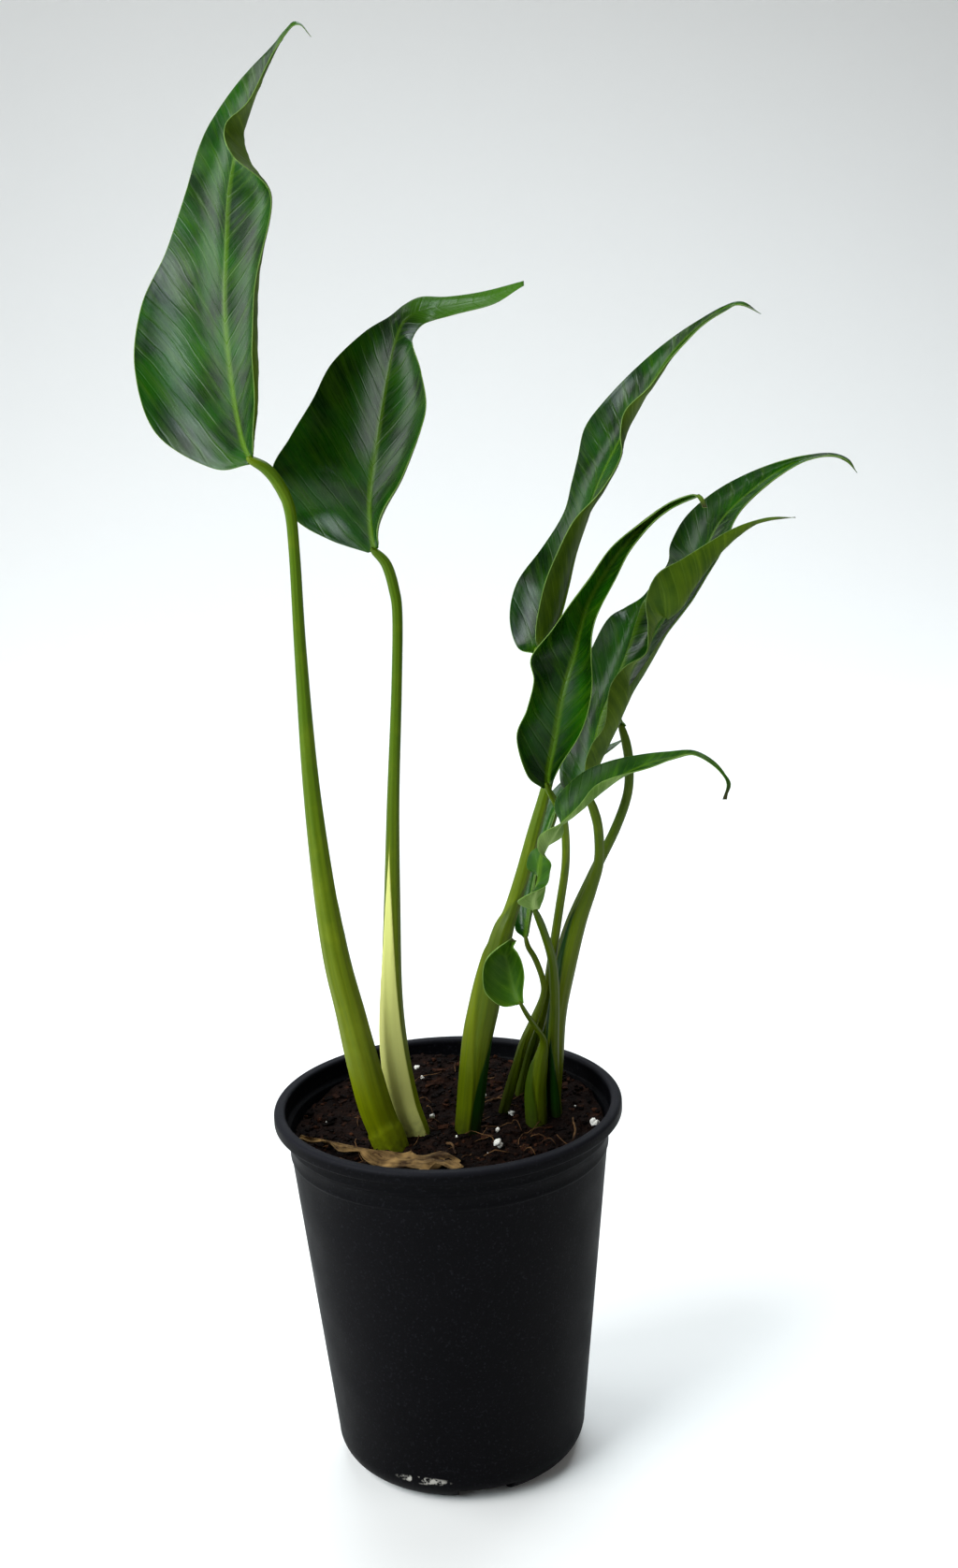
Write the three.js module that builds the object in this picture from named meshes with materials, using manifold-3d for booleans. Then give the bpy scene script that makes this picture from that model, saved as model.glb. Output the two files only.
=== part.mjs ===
// A young monstera in a black nursery pot: pot, compost, nine leaf stalks, nine blades and loose litter.
// Millimetres, Z up, origin at the centre of the pot's underside. The plant is drawn from the middle
// of the compost surface: x to the right, y away, z up.
import * as THREE from "three";
import Module from "manifold-3d";

const wasm = await Module();
wasm.setup();

// ---------- sizes ----------
const gap = 0.3; // air left between pieces that touch

const potHeight = 180.7;
const rimRadius = 82.5;
const footShare = 0.714; // of the rim: where the wall's slope would meet the ground
const lipOverhang = 5.7; // how far the lip stands out from the wall
const wallThickness = 1.7;
const floorThickness = 3;
const footRound = 14.7;
const lipHeight = 6.2;
const lipWidth = 5;
const ledgeBelowRim = 10; // the inside step
const bandsBelowRim = [13.6, 22]; // two raised steps round the outside
const bandStep = 0.35;
const potSides = 48;

const drainCount = 4;
const drainWidth = 26;
const drainTop = 5.6; // how far a slot climbs the corner
const drainInner = 40; // radius where a slot begins
const firstDrain = -79; // degrees, from +X

const compostBelowRim = 15.7;
const compostSides = 40;
const moundHeight = 3;
const backRise = 7; // the compost is higher at the back

const plantHeight = 499; // compost to the top of the tallest leaf
const buriedLength = 14; // how far each stalk goes into the compost
const bladeThickness = 0.7;
const stalkSides = 10;

// ---------- sizes that follow ----------
const compostLevel = potHeight - compostBelowRim;
const footRadius = rimRadius * footShare;
const wallTop = rimRadius - lipOverhang;
const spread = rimRadius / 82.5; // the guide points below are written for a rim and a plant
const grow = plantHeight / 499; // of these sizes
const reach = Math.min(spread, grow); // a plant never outgrows its pot sideways

// ---------- small helpers ----------
function meshFrom(points, triangles) {
  const geometry = new THREE.BufferGeometry();
  geometry.setAttribute("position", new THREE.Float32BufferAttribute(points.flat(), 3));
  geometry.setIndex(triangles.flat());
  return geometry;
}

function toSolid(geometry) {
  const index = geometry.index.array;
  return new wasm.Manifold(
    new wasm.Mesh({
      numProp: 3,
      vertProperties: new Float32Array(geometry.attributes.position.array),
      triVerts: new Uint32Array(index),
    }),
  );
}

function fromSolid(solid) {
  const mesh = solid.getMesh();
  const geometry = new THREE.BufferGeometry();
  geometry.setAttribute("position", new THREE.BufferAttribute(mesh.vertProperties, 3));
  geometry.setIndex(new THREE.BufferAttribute(mesh.triVerts, 1));
  return geometry;
}

function cut(body, tools) {
  let solid = toSolid(body);
  for (const tool of tools) {
    solid = solid.subtract(toSolid(tool));
  }
  return fromSolid(solid);
}

// Rings of equal size joined into one closed skin.
function loft(rings) {
  const sides = rings[0].length;
  const points = rings.flat();
  const triangles = [];
  for (let i = 0; i + 1 < rings.length; i++) {
    for (let j = 0; j < sides; j++) {
      const next = (j + 1) % sides;
      const a = i * sides + j;
      const b = i * sides + next;
      const c = (i + 1) * sides + next;
      const d = (i + 1) * sides + j;
      triangles.push([a, b, c], [a, c, d]);
    }
  }
  const last = (rings.length - 1) * sides;
  for (let j = 1; j + 1 < sides; j++) {
    triangles.push([0, j + 1, j], [last, last + j, last + j + 1]);
  }
  return meshFrom(points, triangles);
}

// A smooth curve through the given places; each place may carry extra numbers.
function smooth(rows, t) {
  const spans = rows.length - 1;
  const i = Math.min(Math.floor(t * spans), spans - 1);
  const u = t * spans - i;
  return rows[0].map((_, k) => {
    const p1 = rows[i][k];
    const p2 = rows[i + 1][k];
    const p0 = i > 0 ? rows[i - 1][k] : 2 * p1 - p2;
    const p3 = i + 2 <= spans ? rows[i + 2][k] : 2 * p2 - p1;
    const bend = 2 * p0 - 5 * p1 + 4 * p2 - p3;
    return 0.5 * (2 * p1 + (p2 - p0) * u + bend * u * u + (3 * p1 - p0 - 3 * p2 + p3) * u * u * u);
  });
}

const vec = (p) => new THREE.Vector3(p[0], p[1], p[2]);

// A guide point of the plant put in the pot's frame.
function planted(p) {
  return new THREE.Vector3(p[0] * reach, p[1] * reach, p[2] * grow + compostLevel);
}

// ---------- pot ----------
function wallRadius(z) {
  return footRadius + ((wallTop - footRadius) * z) / (potHeight - lipHeight);
}

function insideRadius(z) {
  const ledge = potHeight - ledgeBelowRim;
  return z > ledge + 1 ? rimRadius - lipWidth - 0.4 : wallRadius(z) - wallThickness;
}

function arc(cx, cz, radius, from, to, steps) {
  const out = [];
  for (let i = 0; i <= steps; i++) {
    const a = THREE.MathUtils.degToRad(from + ((to - from) * i) / steps);
    out.push([cx + radius * Math.cos(a), cz + radius * Math.sin(a)]);
  }
  return out;
}

function potProfile() {
  const ledge = potHeight - ledgeBelowRim;
  const lipBottom = potHeight - lipHeight;
  const [highBand, lowBand] = bandsBelowRim.map((d) => potHeight - d);
  const footCentre = wallRadius(footRound) - footRound;
  const innerRound = footRound - 2;
  const innerCentre = insideRadius(footRound) - innerRound;
  return [
    [0, 0],
    ...arc(footCentre, footRound, footRound, -90, 0, 6),
    [wallRadius(lowBand), lowBand],
    [wallRadius(lowBand) + bandStep, lowBand + 0.8],
    [wallRadius(highBand) + bandStep, highBand],
    [wallRadius(highBand) + 2 * bandStep, highBand + 0.8],
    [wallTop + 2 * bandStep, lipBottom],
    ...arc(rimRadius - 1, lipBottom + 1, 1, -90, 0, 2),
    ...arc(rimRadius - 2.2, potHeight - 2.2, 2.2, 0, 90, 3),
    ...arc(rimRadius - lipWidth + 1.2, potHeight - 1.6, 1.6, 90, 180, 3),
    [rimRadius - lipWidth - 0.4, ledge + 1.2],
    [insideRadius(ledge), ledge],
    ...arc(innerCentre, footRound + floorThickness - 2, innerRound, 0, -90, 5),
    [0, floorThickness],
  ];
}

function potBody() {
  const profile = potProfile().map(([r, z]) => new THREE.Vector2(r, z));
  const turned = new THREE.LatheGeometry(profile, potSides);
  turned.rotateX(Math.PI / 2);
  return weld(turned);
}

// Joins the lathe's seam and axis so that the skin closes.
function weld(geometry) {
  const place = geometry.attributes.position;
  const seen = new Map();
  const points = [];
  const rename = [];
  for (let i = 0; i < place.count; i++) {
    const p = [place.getX(i), place.getY(i), place.getZ(i)];
    const key = p.map((v) => Math.round(v * 500)).join();
    if (!seen.has(key)) {
      seen.set(key, points.length);
      points.push(p);
    }
    rename.push(seen.get(key));
  }
  const triangles = [];
  for (let i = 0; i < geometry.index.count; i += 3) {
    const [a, b, c] = [0, 1, 2].map((k) => rename[geometry.index.getX(i + k)]);
    if (a !== b && b !== c && c !== a) {
      triangles.push([a, b, c]);
    }
  }
  return meshFrom(points, triangles);
}

function drainTool(angle) {
  const outer = footRadius + 12;
  const shape = new THREE.Shape();
  const half = drainWidth / 2;
  shape.moveTo(drainInner, -half * 0.7);
  shape.lineTo(outer, -half);
  shape.lineTo(outer, half);
  shape.lineTo(drainInner, half * 0.7);
  const tool = new THREE.ExtrudeGeometry(shape, { depth: drainTop + 2, bevelEnabled: false });
  tool.translate(0, 0, -2);
  tool.rotateZ(THREE.MathUtils.degToRad(angle));
  tool.setIndex([...Array(tool.attributes.position.count).keys()]);
  return weld(tool);
}

function pot() {
  const tools = [];
  for (let i = 0; i < drainCount; i++) {
    tools.push(drainTool(firstDrain + (360 / drainCount) * i));
  }
  return cut(potBody(), tools);
}

// ---------- compost ----------
function compostTop(x, y) {
  const u = x / spread;
  const v = y / spread;
  const mound = moundHeight * Math.exp(-((u + 22) ** 2 + (v - 58) ** 2) / 700);
  const rise = backRise * THREE.MathUtils.smoothstep(v + 0.25 * u, -5, 62);
  const dip = -2.2 * Math.exp(-((u + 30) ** 2 + (v + 45) ** 2) / 700);
  const ripple = 0.6 * Math.sin(u * 0.19 + 1) * Math.cos(v * 0.23) + 0.4 * Math.sin(u * 0.41 - v * 0.33);
  return compostLevel + rise + mound + dip + ripple;
}

function compostBody() {
  const rings = [1, 0.97, 0.86, 0.72, 0.56, 0.4, 0.22];
  const bottom = floorThickness + gap;
  const points = [];
  const triangles = [];
  const ledge = potHeight - ledgeBelowRim;
  const ringPoint = (part, k) => {
    const a = (2 * Math.PI * k) / compostSides;
    const edge = insideRadius(Math.min(compostLevel, ledge - 1)) * Math.cos(Math.PI / potSides) - gap;
    const r = edge * part;
    const x = r * Math.cos(a);
    const y = r * Math.sin(a);
    return [x, y, part === 1 ? Math.max(compostTop(x, y), compostLevel) : compostTop(x, y)];
  };
  const innerCentre = insideRadius(footRound) - (footRound - 2);
  const foot = [
    [innerCentre, bottom],
    [innerCentre + (footRound - 2) * 0.6, bottom + (footRound - 2) * 0.25],
    [insideRadius(footRound + 6) - gap - 0.4, footRound + 6],
  ];
  points.push([0, 0, bottom]);
  for (const [r, z] of foot) {
    for (let k = 0; k < compostSides; k++) {
      const a = (2 * Math.PI * k) / compostSides;
      points.push([r * Math.cos(a), r * Math.sin(a), z]);
    }
  }
  for (const part of rings) {
    for (let k = 0; k < compostSides; k++) {
      points.push(ringPoint(part, k));
    }
  }
  points.push([0, 0, compostTop(0, 0)]);
  const rows = foot.length + rings.length;
  const at = (row, k) => 1 + row * compostSides + (k % compostSides);
  for (let k = 0; k < compostSides; k++) {
    triangles.push([0, at(0, k + 1), at(0, k)]);
    triangles.push([at(rows - 1, k), at(rows - 1, k + 1), points.length - 1]);
    for (let row = 0; row + 1 < rows; row++) {
      triangles.push([at(row, k), at(row, k + 1), at(row + 1, k + 1)]);
      triangles.push([at(row, k), at(row + 1, k + 1), at(row + 1, k)]);
    }
  }
  return meshFrom(points, triangles);
}

// ---------- stalks ----------
// Each row: x, y, z and the stalk's radius there.
const stalkGuides = {
  tall_left: [
    [-28, -14, 0, 7.2], [-34, -15, 20, 7.6], [-39, -16, 45, 7.2], [-43, -16, 68, 6.6],
    [-48, -15, 95, 6], [-52, -13, 132, 5], [-55, -11, 180, 3.8], [-56, -11, 237, 2.8],
    [-56, -11, 280, 2.5], [-57, -11, 300, 2.5], [-61, -12, 311, 2.6], [-66, -13, 318, 2.5],
  ],
  broad_left: [
    [-16, -1, 0, 6.4], [-21, 0, 16, 7], [-24, 1, 42, 6.4], [-24, 2, 70, 5],
    [-22, 4, 108, 4], [-19, 6, 160, 3], [-15, 8, 212, 2.5], [-13, 10, 246, 2.4],
    [-14, 11, 259, 2.5], [-17, 13, 270, 2.4],
  ],
  tall_right: [
    [9, -2, 0, 5.4], [11, -2, 14, 6], [15, -2, 44, 6.5], [19, -1, 61, 6.8],
    [23, -1, 78, 6.1], [29, 0, 98, 4.9], [33, 1, 107, 3.6], [39, 2, 124, 3.4], [45, 3, 144, 3.1],
    [53, 5, 170, 2.5], [59, 9, 196, 2.4], [60, 12, 210, 2.4], [57, 13, 220, 2.3],
  ],
  front_dark: [
    [34, 28, 0, 2.4], [40, 26, 25, 2.5], [46, 23, 45, 2.5], [50, 19, 65, 2.3],
    [53, 13, 86, 2.1], [56, 6, 107, 2], [59, -3, 130, 1.9], [59, -11, 149, 1.9],
    [57, -16, 159, 1.8],
  ],
  folded_right: [
    [50, 19, 0, 3.6], [52, 17, 26, 3.9], [54, 15, 51, 4.1], [59, 12, 76, 4.2],
    [65, 11, 98, 3.7], [71, 10, 114, 2.9], [75, 8, 128, 2.4], [75, 5, 144, 2.3],
    [73, 4, 154, 2.2],
  ],
  high_right: [
    [44, 38, 0, 2.8], [48, 36, 26, 3], [53, 33, 58, 2.9], [61, 30, 88, 2.8],
    [73, 26, 116, 2.5], [84, 23, 139, 2.3], [90, 22, 156, 2.2], [91, 22, 170, 2.2],
    [90, 22, 180, 2.2],
  ],
  curly_front: [
    [51, 7, 0, 3.2], [50.5, 5, 23, 2.9], [51, 2, 43, 2.6], [52, -1, 60, 2.3],
    [52, -4, 74, 2.3], [51, -9, 88, 2.1], [48, -14, 101, 1.9], [46, -17, 108, 1.8],
  ],
  slender_back: [
    [26, 14, 0, 2.2], [32, 12, 21, 2.3], [37, 10, 38, 2.2], [42, 8, 50, 2],
    [47, 7, 63, 1.5], [47, 8, 71, 1.4], [44, 11, 80, 1.4], [41, 14, 85, 1.3],
  ],
  young_cup: [
    [42, 2, 0, 4.6], [42, 2, 16, 4.6], [44, 1, 30, 3.8], [46, -1, 40, 2.4],
    [46, -4, 46, 1.5], [43, -9, 53, 1.3], [39, -16, 62, 1.2],
  ],
};

// The stalk's rows in the pot's frame, from its buried end to just short of the blade.
function stalkRows(name) {
  const rows = stalkGuides[name].map((row) => [...planted(row).toArray(), row[3] * reach]);
  const [first, second] = rows;
  const lean = (buriedLength / (second[2] - first[2])) * 0.5;
  const foot = first.map((value, k) => value - (second[k] - value) * lean);
  foot[2] = first[2] - buriedLength;
  foot[3] = first[3] * 0.95;
  const before = vec(rows[rows.length - 1]);
  const tip = planted(bladeGuides[name][0][0]);
  const toward = tip.clone().sub(before).normalize();
  tip.addScaledVector(toward, -gap * 2.5);
  const tipRadius = rows[rows.length - 1][3] * 0.6;
  return [foot, ...rows, [...tip.toArray(), tipRadius]];
}

function stalk(name, extra = 0) {
  const rows = stalkRows(name);
  const steps = rows.length + 4;
  const places = [];
  for (let i = 0; i <= steps; i++) {
    places.push(smooth(rows, i / steps));
  }
  if (extra > 0) {
    places[0][2] -= extra;
  }
  const rings = [];
  let across = new THREE.Vector3(1, 0, 0);
  places.forEach((row, i) => {
    const here = vec(row);
    const ahead = vec(places[Math.min(i + 1, steps)]);
    const behind = vec(places[Math.max(i - 1, 0)]);
    const along = ahead.sub(behind).normalize();
    across = across.addScaledVector(along, -across.dot(along)).normalize();
    const other = new THREE.Vector3().crossVectors(along, across);
    const ring = [];
    for (let j = 0; j < stalkSides; j++) {
      const a = (2 * Math.PI * j) / stalkSides;
      const out = across.clone().multiplyScalar(Math.cos(a)).addScaledVector(other, Math.sin(a));
      ring.push(here.clone().addScaledVector(out, row[3] + extra).toArray());
    }
    rings.push(ring);
    across = across.clone();
  });
  return loft(rings);
}

// ---------- blades ----------
// Each row: a point on the midrib, on the left edge and on the right edge, then how far the left
// and the right half bow, as a share of their width.
const bladeGuides = {
  tall_left: [
    [[-72, -14, 322], [-73, -14, 320], [-71, -15, 324], 0.1, 0.1],
    [[-75, -12, 329], [-90, -5, 318], [-69, -25, 330], 0.1, 0.1],
    [[-77, -10, 340], [-115, 6, 333], [-67, -40, 342], 0.12, 0.12],
    [[-79, -8, 358], [-123, 12, 361], [-66, -48, 361], 0.14, 0.15],
    [[-80, -6, 384], [-119, 18, 387], [-64, -44, 385], 0.14, 0.16],
    [[-78, -5, 409], [-106, 21, 411], [-60, -36, 411], 0.12, 0.16],
    [[-75, -6, 434], [-96, 17, 435], [-55, -31, 433], 0.12, 0.2],
    [[-70, -9, 452], [-87, 9, 454], [-69, -35, 448], 0.12, 0.2],
    [[-66, -10, 461], [-79, 4, 466], [-72, -30, 460], 0.1, 0.15],
    [[-59, -13, 476], [-67, -4, 479], [-62, -25, 471], 0.1, 0.1],
    [[-47, -20, 495], [-48, -18, 495], [-46, -23, 494], 0, 0],
    [[-40, -25, 499], [-41, -24, 499], [-40, -26, 498], 0, 0],
    [[-35, -29, 493], [-35, -28, 493], [-35, -30, 493], 0, 0],
  ],
  broad_left: [
    [[-22, 14, 276], [-25, 16, 275], [-20, 13, 278], 0.1, 0.1],
    [[-23, 14, 286], [-43, 22, 281], [-19, 1, 288], 0.1, 0.1],
    [[-23, 13, 297], [-59, 28, 291], [-15, -15, 300], 0.12, 0.12],
    [[-21, 12, 311], [-67, 25, 311], [-7, -22, 314], 0.14, 0.14],
    [[-18, 12, 327], [-58, 31, 327], [1, -20, 330], 0.14, 0.14],
    [[-15, 14, 342], [-47, 33, 343], [5, -12, 343], 0.12, 0.12],
    [[-12, 17, 355], [-38, 36, 358], [3, -4, 356], 0.12, 0.12],
    [[-9, 21, 366], [-23, 35, 371], [-1, 8, 366], 0.1, 0.1],
    [[-5, 26, 375], [-11, 32, 378], [0, 20, 370], 0.08, 0.08],
    [[0, 29, 379], [-4, 31, 383], [4, 27, 374], 0.08, 0.08],
    [[7, 29, 381], [4, 30, 386], [10, 27, 376], 0.1, 0.1],
    [[17, 25, 382], [16, 27, 386], [18, 22, 378], 0.1, 0.1],
    [[33, 18, 385], [32, 19, 388], [34, 16, 382], 0.1, 0.1],
    [[49, 9, 391], [49, 9, 392], [49, 8, 390], 0, 0],
  ],
  tall_right: [
    [[50, 14, 227], [48, 15, 226], [50, 13, 228], 0.05, 0.05],
    [[55, 15, 233], [41, 26, 227], [49, 2, 235], 0.1, 0.1],
    [[60, 16, 243], [38, 31, 240], [50, -4, 247], 0.15, 0.1],
    [[64, 17, 256], [42, 36, 255], [53, -6, 261], 0.15, 0.1],
    [[68, 18, 271], [54, 42, 270], [59, -6, 274], 0.15, 0.1],
    [[74, 19, 287], [65, 42, 286], [67, -4, 288], 0.15, 0.1],
    [[79, 20, 300], [69, 40, 300], [79, -2, 300], 0.14, 0.1],
    [[85, 20, 312], [72, 37, 312], [88, 0, 315], 0.14, 0.1],
    [[92, 20, 324], [75, 34, 325], [89, 2, 325], 0.14, 0.1],
    [[98, 20, 334], [83, 31, 336], [92, 6, 335], 0.12, 0.1],
    [[105, 18, 346], [96, 29, 349], [103, 6, 345], 0.12, 0.1],
    [[114, 14, 359], [109, 20, 361], [113, 7, 358], 0.1, 0.1],
    [[125, 8, 370], [123, 12, 371], [124, 4, 369], 0.05, 0.05],
    [[134, 0, 377], [134, 2, 378], [135, -2, 376], 0, 0],
    [[141, -6, 379], [142, -5, 380], [141, -7, 379], 0, 0],
    [[149, -12, 375], [149, -11, 375], [149, -13, 375], 0, 0],
  ],
  front_dark: [
    [[51, -24, 173], [49, -26, 173], [53, -24, 174], 0, 0],
    [[52, -23, 181], [42, -31, 181], [57, -29, 183], 0.1, 0.1],
    [[55, -22, 194], [38, -33, 199], [65, -32, 197], 0.12, 0.12],
    [[58, -21, 209], [43, -32, 211], [70, -32, 211], 0.12, 0.12],
    [[61, -20, 220], [47, -30, 223], [72, -31, 221], 0.12, 0.12],
    [[65, -19, 231], [46, -28, 233], [72, -30, 232], 0.12, 0.12],
    [[68, -18, 242], [55, -29, 245], [73, -28, 243], 0.12, 0.12],
    [[72, -17, 254], [64, -25, 256], [77, -25, 254], 0.12, 0.12],
    [[79, -17, 266], [73, -24, 267], [84, -24, 267], 0.15, 0.15],
    [[86, -18, 276], [82, -23, 278], [90, -24, 277], 0.15, 0.15],
    [[97, -20, 288], [95, -24, 289], [99, -25, 288], 0.15, 0.15],
    [[108, -23, 296], [106, -25, 297], [108, -26, 295], 0.1, 0.1],
    [[117, -27, 300], [116, -28, 301], [118, -28, 300], 0, 0],
    [[120, -30, 300], [119, -30, 300], [121, -30, 300], 0, 0],
    [[122, -33, 296], [121, -33, 296], [123, -33, 296], 0, 0],
  ],
  folded_right: [
    [[70, 2, 162], [68, 3, 162], [72, 1, 163], 0.05, 0.05],
    [[71, 3, 170], [59, 11, 164], [69, -7, 176], 0.1, 0.3],
    [[74, 5, 183], [59, 17, 177], [72, -10, 188], 0.15, 0.4],
    [[77, 7, 195], [61, 24, 191], [78, -11, 198], 0.2, 0.4],
    [[82, 8, 208], [68, 30, 208], [81, -9, 214], 0.25, 0.5],
    [[87, 8, 219], [76, 28, 226], [88, -5, 222], 0.25, 0.3],
    [[91, 8, 229], [83, 24, 239], [98, -5, 228], 0.25, 0.25],
    [[95, 9, 241], [91, 23, 244], [99, -3, 239], 0.2, 0.5],
    [[99, 10, 250], [99, 21, 249], [98, -6, 252], 0.2, 0.8],
    [[109, 10, 257], [107, 19, 259], [103, -8, 264], 0.1, 0.8],
    [[120, 8, 265], [118, 15, 266], [114, -7, 270], 0.1, 0.6],
    [[131, 5, 274], [130, 10, 274], [127, -5, 277], 0.1, 0.5],
    [[141, 1, 280], [140, 4, 280], [139, -4, 283], 0.1, 0.4],
    [[152, -5, 286], [152, -4, 285], [152, -6, 287], 0, 0],
    [[164, -10, 287], [164, -9, 287], [164, -11, 287], 0, 0],
  ],
  high_right: [
    [[88, 22, 188], [86, 23, 188], [90, 21, 189], 0.05, 0.05],
    [[86, 24, 195], [80, 34, 189], [84, 14, 198], 0.1, 0.35],
    [[90, 26, 206], [79, 46, 200], [91, 12, 209], 0.1, 0.25],
    [[97, 27, 219], [83, 51, 217], [100, 10, 223], 0.12, 0.2],
    [[105, 28, 231], [95, 54, 231], [109, 9, 235], 0.14, 0.1],
    [[115, 28, 246], [107, 55, 248], [121, 8, 250], 0.14, 0.1],
    [[124, 28, 260], [114, 55, 259], [129, 9, 263], 0.14, 0.1],
    [[130, 28, 272], [115, 52, 268], [135, 12, 273], 0.14, 0.1],
    [[136, 28, 282], [122, 50, 281], [141, 15, 284], 0.14, 0.1],
    [[146, 27, 292], [134, 45, 292], [149, 16, 293], 0.14, 0.1],
    [[159, 24, 302], [150, 35, 302], [161, 17, 302], 0.12, 0.1],
    [[172, 18, 309], [166, 22, 309], [172, 15, 309], 0.1, 0.05],
    [[183, 11, 311], [182, 13, 312], [182, 9, 311], 0, 0],
    [[189, 6, 309], [190, 7, 310], [189, 5, 309], 0, 0],
    [[193, 2, 304], [193, 3, 304], [193, 1, 304], 0, 0],
  ],
  curly_front: [
    [[44, -20, 114], [46, -19, 115], [42, -21, 115], 0, 0],
    [[43, -22, 120], [48, -22, 121], [36, -25, 120], 0.1, 0.1],
    [[44, -24, 126], [49, -22, 127], [41, -30, 125], 0.1, 0.1],
    [[45, -25, 130], [47, -21, 131], [49, -30, 129], 0.1, 0.1],
    [[46, -26, 135], [41, -21, 135], [51, -28, 135], 0.1, 0.1],
    [[47, -26, 141], [43, -20, 142], [51, -31, 140], 0.1, 0.1],
    [[49, -27, 146], [49, -21, 145], [46, -33, 146], 0.1, 0.1],
    [[52, -28, 151], [57, -24, 150], [46, -33, 152], 0.1, 0.1],
    [[55, -29, 156], [57, -22, 156], [49, -36, 156], 0.1, 0.1],
    [[59, -30, 160], [54, -23, 162], [56, -38, 160], 0.12, 0.12],
    [[67, -30, 166], [56, -23, 169], [64, -37, 167], 0.12, 0.2],
    [[76, -30, 173], [67, -20, 178], [72, -36, 176], 0.12, 0.2],
    [[85, -30, 179], [79, -21, 183], [83, -35, 180], 0.1, 0.1],
    [[97, -30, 184], [93, -23, 186], [96, -34, 183], 0.1, 0.1],
    [[106, -31, 186], [105, -27, 188], [106, -33, 186], 0.1, 0.1],
    [[116, -33, 188], [116, -31, 189], [115, -35, 188], 0, 0],
    [[124, -36, 184], [125, -35, 184], [124, -37, 183], 0, 0],
    [[131, -39, 176], [130, -38, 176], [129, -40, 176], 0, 0],
    [[128, -42, 169], [129, -42, 169], [127, -42, 169], 0, 0],
  ],
  slender_back: [
    [[40, 16, 89], [39, 17, 89], [41, 15, 90], 0, 0],
    [[41, 17, 97], [35, 18, 94], [42, 13, 99], 0.2, 0.2],
    [[43, 19, 110], [38, 26, 107], [44, 11, 112], 0.2, 0.2],
    [[47, 22, 125], [42, 30, 124], [47, 14, 128], 0.2, 0.2],
    [[52, 25, 140], [48, 33, 140], [54, 17, 144], 0.2, 0.2],
    [[57, 28, 150], [53, 36, 152], [58, 21, 154], 0.2, 0.2],
    [[65, 31, 161], [63, 37, 162], [66, 25, 162], 0.2, 0.2],
    [[76, 35, 171], [74, 39, 172], [77, 31, 171], 0.2, 0.2],
    [[85, 38, 176], [85, 40, 176], [85, 36, 175], 0, 0],
    [[90, 40, 178], [90, 41, 178], [90, 39, 178], 0, 0],
  ],
  young_cup: [
    [[36, -22, 70], [34, -22, 70], [37, -23, 71], 0, 0],
    [[34, -20, 73], [27, -23, 70], [37, -22, 76], 0.15, 0.15],
    [[32, -17, 79], [20, -24, 77], [38, -23, 84], 0.15, 0.15],
    [[31, -16, 86], [19, -25, 87], [37, -25, 91], 0.15, 0.15],
    [[30, -17, 92], [21, -26, 94], [35, -26, 96], 0.15, 0.15],
    [[31, -20, 97], [26, -26, 99], [33, -25, 99], 0.1, 0.1],
    [[34, -24, 102], [33, -24, 103], [35, -25, 102], 0, 0],
  ],
};

// A half of the blade between the midrib and one edge, bowed toward the underside.
function halfPoint(rib, edge, along, side, bow, u) {
  const reach = edge.clone().sub(rib);
  const width = reach.length();
  const up = new THREE.Vector3().crossVectors(along, reach).multiplyScalar(side).normalize();
  const control = rib.clone().addScaledVector(reach, 0.5).addScaledVector(up, -2 * width * bow);
  return rib
    .clone()
    .multiplyScalar((1 - u) * (1 - u))
    .addScaledVector(control, 2 * u * (1 - u))
    .addScaledVector(edge, u * u);
}

// The middle surface of a blade as rows of points from the left edge over the midrib to the right.
function bladeSurface(rows, steps, perHalf) {
  const flat = rows.map(([rib, left, right, bowLeft, bowRight]) => [
    ...rib.toArray(),
    ...left.toArray(),
    ...right.toArray(),
    bowLeft,
    bowRight,
  ]);
  const places = [];
  for (let i = 0; i <= steps; i++) {
    places.push(smooth(flat, i / steps));
  }
  return places.map((place, i) => {
    const rib = vec(place);
    const along = vec(places[Math.min(i + 1, steps)]).sub(vec(places[Math.max(i - 1, 0)])).normalize();
    const left = vec(place.slice(3));
    const right = vec(place.slice(6));
    const row = [];
    for (let j = perHalf; j > 0; j--) {
      row.push(halfPoint(rib, left, along, 1, place[9], j / perHalf));
    }
    for (let j = 0; j <= perHalf; j++) {
      row.push(halfPoint(rib, right, along, -1, place[10], j / perHalf));
    }
    return row;
  });
}

// Gives a surface its thickness: the skin goes over the top and back underneath.
function thicken(surface, thickness) {
  const rows = surface.length;
  const columns = surface[0].length;
  const at = (i, j) => surface[THREE.MathUtils.clamp(i, 0, rows - 1)][THREE.MathUtils.clamp(j, 0, columns - 1)];
  const rings = surface.map((row, i) => {
    const top = [];
    const under = [];
    row.forEach((point, j) => {
      const along = at(i + 1, j).clone().sub(at(i - 1, j));
      const across = at(i, j + 1).clone().sub(at(i, j - 1));
      const up = new THREE.Vector3().crossVectors(across, along).normalize();
      const edge = j === 0 || j === columns - 1 ? 0.5 : 1;
      top.push(point.clone().addScaledVector(up, (thickness * edge) / 2).toArray());
      under.push(point.clone().addScaledVector(up, (-thickness * edge) / 2).toArray());
    });
    return [...top, ...under.reverse()];
  });
  return loft(rings);
}

function blade(name) {
  const rows = bladeGuides[name].map(([rib, left, right, bowLeft, bowRight]) => [
    planted(rib),
    planted(left),
    planted(right),
    bowLeft,
    bowRight,
  ]);
  const steps = Math.max(14, Math.round(rows.length * 1.5));
  return thicken(bladeSurface(rows, steps, 4), bladeThickness);
}

// ---------- litter ----------
const compostSkin = new THREE.Mesh(compostBody());

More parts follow.
